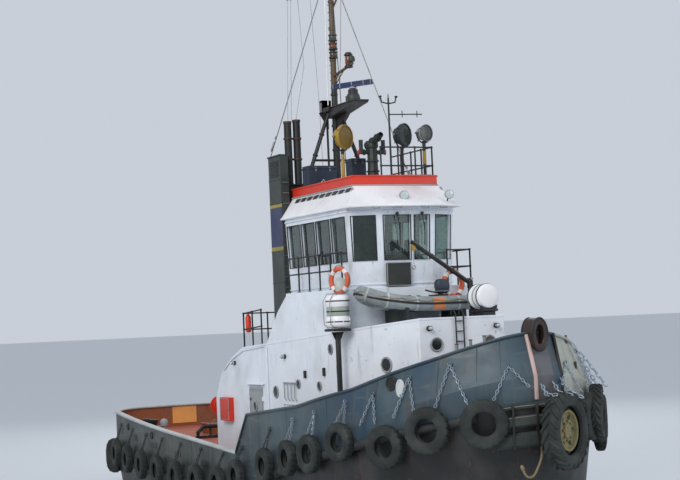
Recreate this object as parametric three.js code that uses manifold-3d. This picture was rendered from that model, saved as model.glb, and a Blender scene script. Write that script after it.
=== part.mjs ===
// Harbour tug, afloat: the whole hull, deckhouse, wheelhouse, mast, deck gear, propellers and rudders.
// Frame: origin on the centreline at the waterline amidships, +X forward, +Y to port, +Z up.
import * as THREE from "three";
import { mergeVertices } from "three/addons/utils/BufferGeometryUtils.js";
import Module from "manifold-3d";

const wasm = await Module();
wasm.setup();

// Every table is in metres, and a finished piece is scaled to millimetres when it joins the group.
const MM = 1000;
const GAP = 0.0005; // between pieces that rest on each other
const CLEAR = 0.006; // between a moving piece and its neighbours

// Driving dimensions
const STERN_X = -12.3;
const STEM_X = 11.9;
const HALF_BEAM = 3.55;
const TYRE_R = 0.52; // of the larger side tyres

const PAINT = {
  slate: { color: 0x3c5064, roughness: 0.55, metalness: 0.1 },
  black: { color: 0x15181a, roughness: 0.7, metalness: 0.1 },
  green: { color: 0x3b4642, roughness: 0.6, metalness: 0.1 },
  white: { color: 0xd9dee4, roughness: 0.5, metalness: 0.05 },
  red: { color: 0xd8401c, roughness: 0.5, metalness: 0.05 },
  orange: { color: 0xc86a32, roughness: 0.6, metalness: 0.05 },
  brown: { color: 0x3a2a24, roughness: 0.6, metalness: 0.1 },
  yellow: { color: 0xc79a2c, roughness: 0.5, metalness: 0.1 },
  blue: { color: 0x1f2c4a, roughness: 0.5, metalness: 0.1 },
  rubber: { color: 0x23262a, roughness: 0.9, metalness: 0.0 },
  grey: { color: 0x7d848a, roughness: 0.7, metalness: 0.0 },
  steel: { color: 0x6f7478, roughness: 0.4, metalness: 0.8 },
  bronze: { color: 0xa5803c, roughness: 0.35, metalness: 0.9 },
  glass: { color: 0x2b3a3c, roughness: 0.08, metalness: 0.0 },
};

// Turning geometry into solids and back

const group = new THREE.Group();

function solid(geometry) {
  const bare = geometry.clone();
  bare.deleteAttribute("normal");
  bare.deleteAttribute("uv");
  const merged = mergeVertices(bare, 1e-6);
  return new wasm.Manifold(
    new wasm.Mesh({
      numProp: 3,
      vertProperties: new Float32Array(merged.attributes.position.array),
      triVerts: new Uint32Array(merged.index.array),
    }),
  );
}

function add(name, shape, paint) {
  const mesh = shape.getMesh();
  const geometry = new THREE.BufferGeometry();
  const position = new Float32Array(mesh.vertProperties.length);
  for (let i = 0; i < position.length; i += 1) {
    position[i] = mesh.vertProperties[i] * MM;
  }
  geometry.setAttribute("position", new THREE.BufferAttribute(position, 3));
  geometry.setIndex(new THREE.BufferAttribute(new Uint32Array(mesh.triVerts), 1));
  geometry.computeVertexNormals();
  const node = new THREE.Mesh(geometry, new THREE.MeshStandardMaterial(PAINT[paint]));
  node.name = name;
  group.add(node);
}

function union(shapes) {
  return shapes.reduce((sum, shape) => sum.add(shape));
}

// Plain shapes

function box(x0, x1, y0, y1, z0, z1) {
  const geometry = new THREE.BoxGeometry(x1 - x0, y1 - y0, z1 - z0);
  geometry.translate((x0 + x1) / 2, (y0 + y1) / 2, (z0 + z1) / 2);
  return solid(geometry);
}

function placed(geometry, from, direction) {
  // the geometry's own +Y turns into the direction
  const up = new THREE.Vector3(0, 1, 0);
  const turn = new THREE.Quaternion().setFromUnitVectors(up, direction.clone().normalize());
  geometry.applyQuaternion(turn);
  geometry.translate(from.x, from.y, from.z);
  return solid(geometry);
}

function rod(a, b, r, sides = 8, r2 = r) {
  const from = new THREE.Vector3(...a);
  const along = new THREE.Vector3(...b).sub(from);
  const geometry = new THREE.CylinderGeometry(r2, r, along.length(), sides);
  geometry.translate(0, along.length() / 2, 0);
  return placed(geometry, from, along);
}

function turned(profile, at, axis, sides = 16) {
  // profile rows are [radius, distance along the axis]
  const points = profile.map(([r, h]) => new THREE.Vector2(r, h));
  const geometry = new THREE.LatheGeometry(points, sides);
  return placed(geometry, new THREE.Vector3(...at), new THREE.Vector3(...axis));
}

function outline(points) {
  return new THREE.Shape(points.map(([a, b]) => new THREE.Vector2(a, b)));
}

function prismUp(points, z0, z1) {
  const options = { depth: z1 - z0, bevelEnabled: false };
  const geometry = new THREE.ExtrudeGeometry(outline(points), options);
  geometry.translate(0, 0, z0);
  return solid(geometry);
}

function prismAcross(points, y0, y1) {
  // points are [x, z]
  const options = { depth: y1 - y0, bevelEnabled: false };
  const geometry = new THREE.ExtrudeGeometry(outline(points), options);
  geometry.rotateX(Math.PI / 2);
  geometry.translate(0, y1, 0);
  return solid(geometry);
}

function prismAlong(points, x0, x1) {
  // points are [y, z]
  const options = { depth: x1 - x0, bevelEnabled: false };
  const geometry = new THREE.ExtrudeGeometry(outline(points), options);
  const turn = new THREE.Matrix4().set(0, 0, 1, 0, 1, 0, 0, 0, 0, 1, 0, 0, 0, 0, 0, 1);
  geometry.applyMatrix4(turn);
  geometry.translate(x0, 0, 0);
  return solid(geometry);
}

function mirrored(shape) {
  return shape.mirror([0, 1, 0]);
}

function lookup(table, x) {
  if (x <= table[0][0]) return table[0][1];
  for (let i = 1; i < table.length; i += 1) {
    const [x1, z1] = table[i];
    const [x0, z0] = table[i - 1];
    if (x <= x1) return z0 + ((z1 - z0) * (x - x0)) / (x1 - x0);
  }
  return table[table.length - 1][1];
}

// Lofts: rings of points joined by quads, closed by caps at both ends

function loft(rings, capTriangles) {
  const count = rings[0].length;
  const position = rings.flat(2);
  const index = [];
  for (let i = 0; i + 1 < rings.length; i += 1) {
    for (let j = 0; j < count; j += 1) {
      const a = i * count + j;
      const b = i * count + ((j + 1) % count);
      index.push(a, b, a + count, b, b + count, a + count);
    }
  }
  const last = (rings.length - 1) * count;
  for (const [a, b, c] of capTriangles) {
    index.push(a, c, b);
    index.push(last + a, last + b, last + c);
  }
  const geometry = new THREE.BufferGeometry();
  geometry.setAttribute("position", new THREE.Float32BufferAttribute(position, 3));
  geometry.setIndex(index);
  if (signedVolume(position, index) < 0) {
    for (let i = 0; i < index.length; i += 3) {
      [index[i], index[i + 1]] = [index[i + 1], index[i]];
    }
    geometry.setIndex(index);
  }
  return solid(geometry);
}

function signedVolume(position, index) {
  let sum = 0;
  const at = (i) => new THREE.Vector3(position[3 * i], position[3 * i + 1], position[3 * i + 2]);
  for (let i = 0; i < index.length; i += 3) {
    sum += at(index[i]).dot(at(index[i + 1]).cross(at(index[i + 2])));
  }
  return sum;
}

function flatCap(points) {
  // triangles of a plane outline, all wound as the outline is
  const contour = points.map(([a, b]) => new THREE.Vector2(a, b));
  const way = Math.sign(THREE.ShapeUtils.area(contour));
  const faces = THREE.ShapeUtils.triangulateShape(contour, []);
  return faces.map(([a, b, c]) => {
    const same = Math.sign(THREE.ShapeUtils.area([contour[a], contour[b], contour[c]])) === way;
    return same ? [a, b, c] : [a, c, b];
  });
}

function sweep(stations, profile) {
  // profile(station) gives [distance outward, z] points
  const rings = stations.map((s) =>
    profile(s).map(([out, z]) => [s.x + out * s.nx, s.y + out * s.ny, z]),
  );
  return loft(rings, flatCap(profile(stations[0])));
}

function pipe(points, r, sides = 6) {
  // a round bar along a path, mitred where it bends
  const path = points.map((p) => new THREE.Vector3(...p));
  const last = path.length - 1;
  const up = new THREE.Vector3(0, 0, 1);
  const rings = path.map((p, i) => {
    const before = path[i].clone().sub(path[Math.max(0, i - 1)]);
    const after = path[Math.min(last, i + 1)].clone().sub(p);
    if (i === 0) before.copy(after);
    if (i === last) after.copy(before);
    const tangent = before.clone().normalize().add(after.clone().normalize()).normalize();
    const mitre = 1 / tangent.dot(after.clone().normalize());
    const side = tangent.clone().cross(up).normalize();
    const rise = side.clone().cross(tangent);
    return Array.from({ length: sides }, (_, k) => {
      const a = ((k + 0.5) / sides) * 2 * Math.PI;
      const out = side.clone().multiplyScalar(r * mitre * Math.cos(a));
      return p.clone().add(out).add(rise.clone().multiplyScalar(r * Math.sin(a))).toArray();
    });
  });
  const circle = Array.from({ length: sides }, (_, k) => {
    const a = ((k + 0.5) / sides) * 2 * Math.PI;
    return [Math.cos(a), Math.sin(a)];
  });
  return loft(rings, flatCap(circle));
}

function taper(lower, upper, z0, z1) {
  const rings = [
    lower.map(([x, y]) => [x, y, z0]),
    upper.map(([x, y]) => [x, y, z1]),
  ];
  return loft(rings, flatCap(lower));
}

// Hull: plan curves of the levels, from the stern's centre along starboard to the stem

const SIDE_X = [-8.5, -6, -3, 0, 1.6, 1.95, 2.05, 2.5, 4];
const BOW_T = [0, 0.2, 0.38, 0.54, 0.68, 0.79, 0.88, 0.94, 0.975, 0.993, 1];
const BOW_START = 5.6;
const TAPER_START = -3;

function planCurve({ aft, fwd, half, corner, tuck }) {
  const flat = half - tuck - corner;
  const points = [
    [aft, 0],
    [aft, -flat / 2],
  ];
  for (let k = 0; k <= 4; k += 1) {
    const angle = (k / 4) * (Math.PI / 2);
    points.push([aft + corner * (1 - Math.cos(angle)), -(flat + corner * Math.sin(angle))]);
  }
  for (const x of SIDE_X) {
    const t = Math.max(0, (TAPER_START - x) / (TAPER_START - aft - corner));
    points.push([x, -(half - tuck * t * t)]);
  }
  for (const t of BOW_T) {
    const y = half * Math.max(0, 1 - t ** 2.1) ** 0.55;
    points.push([BOW_START + (fwd - BOW_START) * t, -y]);
  }
  return points;
}

const KEEL_Z = [[-10.2, -0.35], [-9, -0.6], [-7, -1.3], [-5, -2.9], [8, -2.9], [9, -2.3], [9.9, -1.2]];
const BILGE_Z = [[-11.2, -0.15], [-9, -0.4], [-7, -0.9], [-4.5, -1.9], [6, -1.9], [9, -1.5], [10.5, -0.6]];
const KNUCKLE_Z = [[-12.3, 1.15], [-6, 0.95], [0, 0.85], [2, 1.05], [3.5, 1.4], [6, 1.98], [8, 2.4],
  [9.3, 2.72], [10.3, 2.93], [11, 3.08], [11.6, 3.28], [11.9, 3.35]];
const DECK_Z = [[-12.3, 1.85], [-10, 1.75], [-5, 1.51], [0, 1.22], [1.95, 1.15], [2.05, 2.05], [6, 2.45],
  [8.4, 2.85], [9.5, 3.2], [10.5, 3.5], [11.4, 3.8], [11.9, 3.95]];
const RIM_AFT_Z = [[-12.3, 2.62], [-10, 2.5], [-5, 2.25], [-1.4, 2.07], [1.6, 1.9]];
const RIM_FWD_Z = [[1.6, 1.95], [2.5, 3.0], [6, 3.33], [8.35, 3.77], [9.5, 4.14], [10.5, 4.44],
  [11.4, 4.76], [11.9, 4.96]];

const LEVELS = [
  { aft: -10.2, fwd: 9.9, half: 0.3, corner: 0.1, tuck: 0.1, z: KEEL_Z },
  { aft: -11.2, fwd: 10.5, half: 2.9, corner: 1.0, tuck: 0.3, z: BILGE_Z },
  { aft: -12.0, fwd: 11.1, half: 3.45, corner: 1.3, tuck: 0.45, z: [[-12, 0.1], [11, 0.1]] },
  { aft: STERN_X, fwd: STEM_X, half: HALF_BEAM, corner: 1.4, tuck: 0.45, z: KNUCKLE_Z },
  { aft: STERN_X, fwd: STEM_X, half: HALF_BEAM, corner: 1.4, tuck: 0.45, z: DECK_Z },
];

function ladderCap(half) {
  // triangles across a ring that is symmetric about y = 0, with half points from stern to stem
  const size = 2 * half - 2;
  const triangles = [];
  for (let k = 0; k + 1 < half; k += 1) {
    const port = (size - k) % size;
    const nextPort = (size - k - 1) % size;
    if (k + 2 < half) triangles.push([k, k + 1, nextPort]);
    if (k > 0) triangles.push(k + 2 < half ? [k, nextPort, port] : [k, k + 1, port]);
  }
  return triangles;
}

function levelRing(level) {
  const starboard = planCurve(level);
  const port = starboard.slice(1, -1).reverse().map(([x, y]) => [x, -y]);
  return [...starboard, ...port].map(([x, y]) => [x, y, lookup(level.z, x)]);
}

const DECK = planCurve(LEVELS[4]);
const bareHull = loft(LEVELS.map(levelRing), ladderCap(DECK.length));

// Stations with outward normals on the deck's edge: starboard from aft, then round the stem to port
function stationsOf(points) {
  return points.map(([x, y], i) => {
    const [ax, ay] = points[Math.max(0, i - 1)];
    const [bx, by] = points[Math.min(points.length - 1, i + 1)];
    const length = Math.hypot(bx - ax, by - ay);
    return { x, y, nx: (by - ay) / length, ny: -(bx - ax) / length };
  });
}

function deckPath(test) {
  // the stretch of the deck's edge through the stem, starboard first, where test(x) holds
  const starboard = DECK.filter(([x]) => test(x));
  const port = starboard.slice(0, -1).reverse().map(([x, y]) => [x, -y]);
  return stationsOf([...starboard, ...port]);
}

function sternPath(test) {
  const port = DECK.filter(([x]) => test(x)).reverse().map(([x, y]) => [x, -y]);
  const starboard = port.slice(0, -1).reverse().map(([x, y]) => [x, -y]);
  return stationsOf([...port, ...starboard]);
}

function sidePath(test) {
  return stationsOf(DECK.filter(([x]) => test(x)));
}

// Skeg and shaft bossings are part of the hull's shell
const PROP = { x: -8.45, y: 1.3, z: -1.75, r: 0.95 };
const skeg = prismAcross([[-10.4, -2.9], [-4, -2.9], [-4, -1.2], [-9.9, -0.3], [-10.4, -0.3]], -0.12, 0.12);
const bossings = [-1, 1].map((side) => {
  const y = side * PROP.y;
  const tube = rod([PROP.x + 0.2, y, PROP.z], [-4.2, y, PROP.z], 0.17, 12);
  const strut = box(-8.15, -7.85, y - 0.05, y + 0.05, PROP.z, -0.35);
  return tube.add(strut);
});
const RUDDER = { x: -10.05, trunk: -0.6, top: -0.75, bottom: -2.7 };
const trunks = [-1, 1].map((side) => {
  const y = side * PROP.y;
  return rod([RUDDER.x, y, RUDDER.trunk], [RUDDER.x, y, -0.1], 0.13, 12);
});
const hull = union([bareHull, skeg, ...bossings, ...trunks]);
const onDeck = (shape) => shape.subtract(hull.translate(0, 0, GAP));
add("hull", hull, "slate");

// Bulwarks, each with its cap rail
const BULWARK_T = 0.08;
const CAP_IN = 0.15;
const CAP_OUT = 0.04;
const CAP_H = 0.06;

function bulwarkProfile(bottom, top, lean) {
  return [
    [0, bottom],
    [-lean, top - CAP_H],
    [CAP_OUT - lean, top - CAP_H],
    [CAP_OUT - lean, top],
    [-CAP_IN - lean, top],
    [-CAP_IN - lean, top - CAP_H],
    [-BULWARK_T - lean, top - CAP_H],
    [-BULWARK_T, bottom],
  ];
}

const leanAt = (x) => 0.32 * THREE.MathUtils.smoothstep(x, 7, 11.2);
const aftBulwark = sweep(sternPath((x) => x < 1.61), (s) =>
  bulwarkProfile(lookup(DECK_Z, s.x) + GAP, lookup(RIM_AFT_Z, s.x), 0),
);
const forwardBulwark = sweep(deckPath((x) => x > 1.59), (s) =>
  bulwarkProfile(lookup(DECK_Z, s.x) + GAP, lookup(RIM_FWD_Z, s.x), leanAt(s.x)),
);

// Stem fairlead: an upright oval ring let into the top of the stem
const FAIRLEAD = { x0: 11.36, x1: 11.84, z: 4.88, halfWide: 0.21, halfHigh: 0.38, holeWide: 0.1, holeHigh: 0.22 };

function oval(halfWide, halfHigh, sides) {
  return Array.from({ length: sides }, (_, k) => {
    const a = (k / sides) * 2 * Math.PI;
    return [halfWide * Math.cos(a), FAIRLEAD.z + halfHigh * Math.sin(a)];
  });
}
const fairleadRoom = prismAlong(oval(FAIRLEAD.halfWide + GAP, FAIRLEAD.halfHigh + GAP, 20), 11, 12.5);
const fairleadRing = prismAlong(oval(FAIRLEAD.halfWide, FAIRLEAD.halfHigh, 20), FAIRLEAD.x0, FAIRLEAD.x1);
const fairleadHole = prismAlong(oval(FAIRLEAD.holeWide, FAIRLEAD.holeHigh, 20), 11, 12.5);
add("stem_fairlead", fairleadRing.subtract(fairleadHole), "brown");
add("bulwark_aft", onDeck(aftBulwark), "green");
const notInBow = union([box(0, 1.6 + GAP, -4, 4, 0, 3), fairleadRoom]);
add("bulwark_forward", onDeck(forwardBulwark).subtract(notInBow), "slate");

// Tyres: a ring of square-shouldered rubber, its axis along the hull's outward normal
function tyre(r, hole, width, at, axis, sides = 8) {
  const w = width / 2;
  const profile = [[hole, -w * 0.6], [r * 0.84, -w], [r, 0], [r * 0.84, w], [hole, w * 0.6], [hole, -w * 0.6]];
  return turned(profile, at, axis, sides);
}

function edgeAt(x) {
  // point and outward normal on the starboard side at x
  const path = sidePath(() => true).slice(6);
  const i = Math.max(1, path.findIndex((s) => s.x >= x));
  const [a, b] = [path[i - 1], path[i]];
  const t = (x - a.x) / (b.x - a.x);
  const normal = new THREE.Vector2(a.nx + t * (b.nx - a.nx), a.ny + t * (b.ny - a.ny)).normalize();
  return { x, y: a.y + t * (b.y - a.y), nx: normal.x, ny: normal.y };
}

const STRAKE_OUT = 0.16;
const STRAKE_H = 0.22;
const TYRE_W = 0.24;
const SIDE_TYRES = [
  // x, z of the centre, radius
  [-10.2, 1.2, 0.46],
  [-8.4, 1.12, 0.46],
  [-6.6, 1.05, 0.46],
  [-4.8, 1.0, 0.46],
  [-3.0, 0.95, 0.46],
  [-1.2, 0.95, 0.46],
  [0.6, 1.0, 0.46],
  [2.1, 1.3, 0.46],
  [4.16, 1.7, 0.48],
  [5.7, 2.0, 0.46],
  [6.9, 2.17, 0.48],
  [8.14, 2.5, 0.47],
  [9.52, 2.42, TYRE_R],
  [10.48, 2.8, TYRE_R + 0.03],
  [11.4, 2.93, TYRE_R + 0.04],
];

function sideFender() {
  const beam = sweep(sidePath((x) => x > -11 && x < 11.4), (s) => {
    const z = lookup(KNUCKLE_Z, s.x);
    return [[CLEAR / 10, z - STRAKE_H], [CLEAR / 10, z], [STRAKE_OUT, z - 0.05], [STRAKE_OUT, z - STRAKE_H + 0.05]];
  });
  const tyres = SIDE_TYRES.map(([x, z, r]) => {
    const e = edgeAt(x);
    const out = STRAKE_OUT + TYRE_W / 2 - 0.05;
    return tyre(r, r * 0.5, TYRE_W, [e.x + out * e.nx, e.y + out * e.ny, z], [e.nx, e.ny, 0]);
  });
  return union([beam, ...tyres]);
}

const starboardFender = sideFender().subtract(hull);
add("side_fender_starboard", starboardFender, "rubber");
add("side_fender_port", mirrored(starboardFender), "rubber");

// Stern fender, bow fender and the big bow tyres
const sternFender = sweep(sternPath((x) => x < -10.95), () => [
  [GAP, 0.45],
  [GAP, 1.6],
  [0.22, 1.6],
  [0.38, 1.35],
  [0.38, 0.7],
  [0.22, 0.45],
]);
add("stern_fender", sternFender.subtract(hull), "rubber");

const bowPath = deckPath((x) => x > 11);
const bowFender = sweep(bowPath, (s) => {
  const top = lookup(KNUCKLE_Z, s.x) + 0.02;
  return [[GAP, top], [0.16, top], [0.16, top - 0.1], [0.06, top - 0.16], [0.06, top - 0.22],
    [0.2, top - 0.26], [0.2, top - 0.5], [0.06, top - 0.54], [0.06, top - 0.6], [0.2, top - 0.64],
    [0.2, top - 0.95], [GAP, top - 1.0]];
});
const lastTyre = edgeAt(SIDE_TYRES.at(-1)[0]);
const tyreRoom = rod(
  [lastTyre.x - lastTyre.nx, lastTyre.y - lastTyre.ny, SIDE_TYRES.at(-1)[1]],
  [lastTyre.x + lastTyre.nx, lastTyre.y + lastTyre.ny, SIDE_TYRES.at(-1)[1]],
  TYRE_R + 0.07,
  20,
);
const aftOfBow = box(9, 11.5, -4, 4, 1, 5);
const bowFenderCuts = [hull, aftOfBow, tyreRoom, mirrored(tyreRoom)];
const bowFenderSolid = bowFenderCuts.reduce((rest, cut) => rest.subtract(cut), bowFender);
add("bow_fender", bowFenderSolid, "black");

// Deckhouse: a hollow shell with doorways, and its top plate rounded down at the after end
const WALL = 0.06;
const HOUSE_PLAN = [[-4, -2], [5.4, -2], [8.25, -1.2], [8.25, 1.2], [5.4, 2], [-4, 2]];
const HOUSE_INNER = [[-3.94, -1.94], [5.385, -1.94], [8.19, -1.15], [8.19, 1.15], [5.385, 1.94], [-3.94, 1.94]];
const HOUSE_TOP = [[-4, 3.2], [-3.45, 3.95], [-2.6, 4.4], [-1.6, 4.72], [1.4, 4.9], [5.4, 5.13], [8.25, 5.36]];
const HOUSE_UNDER = [[-3.94, 3.2], [-3.4, 3.91], [-2.57, 4.34], [-1.58, 4.66], [1.4, 4.84], [5.4, 5.07], [8.25, 5.3]];

const underTop = prismAcross([[-3.94, 0.5], ...HOUSE_UNDER, [8.4, 5.3], [8.4, 0.5]], -3, 3);
const wallTop = HOUSE_UNDER.map(([x, z]) => [x, z - GAP]);
const wallLimit = prismAcross([[-4.2, 0.5], [-4.2, 3.2 - GAP], ...wallTop, [8.4, 5.3 - GAP], [8.4, 0.5]], -3, 3);
const houseOuter = prismUp(HOUSE_PLAN, 0.5, 6).intersect(
  prismAcross([[-4, 0.5], ...HOUSE_TOP, [8.25, 0.5]], -3, 3),
);
const DOORWAY = { x0: -1.02, x1: -0.18, z0: 1.5, z1: 3.5 };
const doorways = box(DOORWAY.x0, DOORWAY.x1, -2.5, 2.5, DOORWAY.z0, DOORWAY.z1);
const houseWalls = prismUp(HOUSE_PLAN, 0.5, 6)
  .intersect(wallLimit)
  .subtract(prismUp(HOUSE_INNER, 0.4, 6.1))
  .subtract(doorways);
const houseTop = houseOuter.subtract(underTop).subtract(box(-5, -3.9, -3, 3, 0, 3.2));
const houseTopPlate = houseTop.subtract(box(-5, 9, -3, 3, 0, 3.2));
const hingeLugs = [1.75, 3.15].map((z) =>
  box(DOORWAY.x1 + 0.05 + GAP, DOORWAY.x1 + 0.12, -2.046, -1.95, z, z + 0.14),
);
const lugs = union(hingeLugs);
add("deckhouse_walls", onDeck(union([houseWalls, lugs, mirrored(lugs)])), "white");
add("deckhouse_top", houseTopPlate, "white");
const houseSurface = HOUSE_TOP.map(([x, z]) => [x, z + GAP]);
const belowHouseTop = prismAcross([[-4, 0], ...houseSurface, [9, 5.36 + GAP], [9, 0]], -3, 3);
const onHouse = (shape) => shape.subtract(belowHouseTop);

// Weathertight doors on both sides, hinged at the forward edge outside the wall
const door = box(DOORWAY.x0 - 0.05, DOORWAY.x1 + 0.05, -2.046, -2.006, DOORWAY.z0 - 0.05, DOORWAY.z1 + 0.05);
const doorKnob = rod([-0.92, -2.03, 2.5], [-0.92, -2.1, 2.5], 0.03, 6);
add("door_starboard", door.add(doorKnob), "grey");
add("door_port", mirrored(door.add(doorKnob)), "grey");

// Tower below the wheelhouse, its top plate the walkway round the wheelhouse
const TOWER_TOP = 6.2;
const TOWER_PLAN = [[1.05, -1.4], [1.75, -1.95], [5.5, -1.95], [5.5, 1.95], [1.75, 1.95], [1.05, 1.4]];
const TOWER_INNER = [[1.11, -1.36], [1.78, -1.89], [5.44, -1.89], [5.44, 1.89], [1.78, 1.89], [1.11, 1.36]];
const tower = prismUp(TOWER_PLAN, 4.5, TOWER_TOP).subtract(prismUp(TOWER_INNER, 4.4, TOWER_TOP - WALL));
add("tower", onHouse(tower), "white");

// Wheelhouse: walls flared outward to the brim, with window openings along each edge
const WHEEL_Z0 = TOWER_TOP + GAP;
const WHEEL_Z1 = 8.3;
const WHEEL_LOW = [[1.1, -1.5], [5.1, -1.5], [5.4, -0.75], [5.4, 0.75], [5.1, 1.5], [1.1, 1.5]];
const WHEEL_HIGH = [[1.1, -1.6], [5.16, -1.6], [5.52, -0.8], [5.52, 0.8], [5.16, 1.6], [1.1, 1.6]];
const SILL = 6.92;
const LINTEL = 8.1;
const WINDOWS = [
  // edge of the plan, where its panes begin and end as parts of its length
  [0, [0, 0.25, 0.5, 0.75, 1]],
  [1, [0, 1]],
  [2, [0, 0.62, 1]],
  [3, [0, 1]],
  [4, [0, 0.25, 0.5, 0.75, 1]],
];
const MULLION = 0.1;

function inset(points, depth) {
  // each corner moves in along the bisector of its two edges
  const n = points.length;
  return points.map(([x, y], i) => {
    const [ax, ay] = points[(i + n - 1) % n];
    const [bx, by] = points[(i + 1) % n];
    const u = new THREE.Vector2(x - ax, y - ay).normalize();
    const v = new THREE.Vector2(bx - x, by - y).normalize();
    const normal = new THREE.Vector2(-u.y - v.y, u.x + v.x).normalize();
    const scale = depth / (normal.x * -u.y + normal.y * u.x);
    return [x + normal.x * scale, y + normal.y * scale];
  });
}

function windowCut(edge, from, to) {
  const [ax, ay] = WHEEL_LOW[edge];
  const [bx, by] = WHEEL_LOW[(edge + 1) % WHEEL_LOW.length];
  const length = Math.hypot(bx - ax, by - ay) - MULLION;
  const middle = MULLION / 2 + (length * (from + to)) / 2;
  const geometry = new THREE.BoxGeometry(length * (to - from) - MULLION, 0.9, LINTEL - SILL);
  geometry.rotateZ(Math.atan2(by - ay, bx - ax));
  const t = middle / (length + MULLION);
  geometry.translate(ax + t * (bx - ax), ay + t * (by - ay), (SILL + LINTEL) / 2);
  return solid(geometry);
}

const wheelShell = taper(WHEEL_LOW, WHEEL_HIGH, WHEEL_Z0, WHEEL_Z1).subtract(
  taper(inset(WHEEL_LOW, WALL), inset(WHEEL_HIGH, WALL), WHEEL_Z0 - 0.0001, WHEEL_Z1 + 0.0001),
);
const windowCuts = WINDOWS.flatMap(([edge, ends]) =>
  ends.slice(1).map((to, k) => windowCut(edge, ends[k], to)),
);
const aftWindows = [-0.85, 0.85].map((y) => box(0.8, 1.4, y - 0.35, y + 0.35, SILL, LINTEL));
const wheelWalls = [...windowCuts, ...aftWindows].reduce((rest, cut) => rest.subtract(cut), wheelShell);
add("wheelhouse_walls", wheelWalls, "white");

const glassBand = (depth) => taper(inset(WHEEL_LOW, depth), inset(WHEEL_HIGH, depth), WHEEL_Z0, WHEEL_Z1);
const glassHeight = box(0, 7, -3, 3, SILL - 0.06, LINTEL + 0.06);
const glazing = glassBand(WALL + GAP).subtract(glassBand(WALL + GAP + 0.014)).intersect(glassHeight);
add("wheelhouse_glazing", glazing, "glass");

// Roof: overhanging brim, fascia raked in to the parapet, and the red parapet on top
const BRIM = [[0.98, -1.66], [5.45, -1.66], [5.82, -0.85], [5.82, 0.85], [5.45, 1.66], [0.98, 1.66]];
const COAMING = [[0.95, -1.27], [4.95, -1.27], [5.02, -0.6], [5.02, 0.6], [4.95, 1.27], [0.95, 1.27]];
const BRIM_Z = WHEEL_Z1 + GAP;
const ROOF_Z = 8.92;
const PARAPET_Z = 9.17;
const brim = taper(BRIM, BRIM, BRIM_Z, BRIM_Z + 0.07);
const fascia = taper(BRIM, COAMING, BRIM_Z + 0.07, ROOF_Z);
const ceiling = box(1.3, 4.7, -1.1, 1.1, BRIM_Z - 0.1, ROOF_Z - 0.06);
const roof = brim.add(fascia).subtract(ceiling);
add("wheelhouse_roof", roof, "white");
const onRoof = (shape) => shape.subtract(box(0, 7, -3, 3, 7, ROOF_Z + GAP));
const parapet = taper(COAMING, COAMING, ROOF_Z + GAP, PARAPET_Z).subtract(
  taper(inset(COAMING, 0.04), inset(COAMING, 0.04), ROOF_Z - 0.01, PARAPET_Z + 0.01),
);
add("roof_parapet", parapet, "red");

// Funnel on the starboard side, and the exhaust casing behind the wheelhouse
const FUNNEL = { x0: 0.08, x1: 0.94, y0: -1.63, y1: -1.36, top: 10.2, plate: 0.05 };
const funnelInside = box(
  FUNNEL.x0 + FUNNEL.plate,
  FUNNEL.x1 - FUNNEL.plate,
  FUNNEL.y0 + FUNNEL.plate,
  FUNNEL.y1 - FUNNEL.plate,
  5.4,
  FUNNEL.top + 0.1,
);
const funnelShell = box(FUNNEL.x0, FUNNEL.x1, FUNNEL.y0, FUNNEL.y1, 4.7, FUNNEL.top).subtract(funnelInside);
const funnel = onHouse(funnelShell);
add("funnel", funnel, "green");
const casing = box(-0.1, 0.85, -1.33, 0.7, 4.7, 9.35).subtract(box(-0.04, 0.79, -1.27, 0.64, 4.6, 9.29));
const exhausts = [
  // x, y, top
  [0.62, -1.2, 11.2],
  [0.62, -0.92, 11.25],
].map(([x, y, top]) => {
  const bore = rod([x, y, top - 0.4], [x, y, top + 0.1], 0.09, 12);
  return rod([x, y, 9.3], [x, y, top], 0.11, 12).subtract(bore);
});
add("exhaust_casing", onHouse(union([casing, ...exhausts])), "black");

// Mast: pole, raked legs to both sides, radar platform, lamp arms and spar
const MAST_X = 1.3;
const RADAR = { x: MAST_X + 1.3, z: 11.5 };
const mastPieces = [
  rod([RADAR.x, 0, RADAR.z], [RADAR.x, 0, RADAR.z + 0.36], 0.14, 12),
  rod([MAST_X, 0, ROOF_Z + GAP], [MAST_X + 0.1, 0, 16.2], 0.1, 10, 0.06),
  rod([MAST_X, -0.2, 11.35], [MAST_X, -1.12, ROOF_Z + GAP + 0.02], 0.06, 8),
  rod([MAST_X, 0.2, 11.35], [MAST_X, 1.12, ROOF_Z + GAP + 0.02], 0.06, 8),
  rod([MAST_X - 0.05, -0.22, 11.5], [MAST_X - 0.05, -0.22, ROOF_Z + GAP], 0.035, 6),
  box(MAST_X - 0.32, MAST_X + 0.25, -0.3, 0.3, 11.4, 11.52),
  prismAcross([[MAST_X, 11.52], [MAST_X + 1.8, 11.52], [MAST_X + 1.8, 11.44], [MAST_X, 11.2]], -0.22, 0.22),
  box(MAST_X - 0.34, MAST_X - 0.16, -0.3, -0.02, 11.35, 11.75),
  rod([MAST_X, 0, 12.42], [MAST_X + 1.35, 0, 12.6], 0.045, 6),
  rod([MAST_X + 1.1, 0, 12.52], [MAST_X + 1.1, 0, 12.95], 0.09, 8),
  rod([MAST_X + 0.08, 0, 14.3], [MAST_X + 0.08, 0.34, 15.0], 0.03, 6),
];
for (const z of [12.95, 13.2, 13.45]) {
  mastPieces.push(rod([MAST_X + 0.1, 0, z], [MAST_X + 0.1, 0, z + 0.18], 0.11, 8));
}

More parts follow.
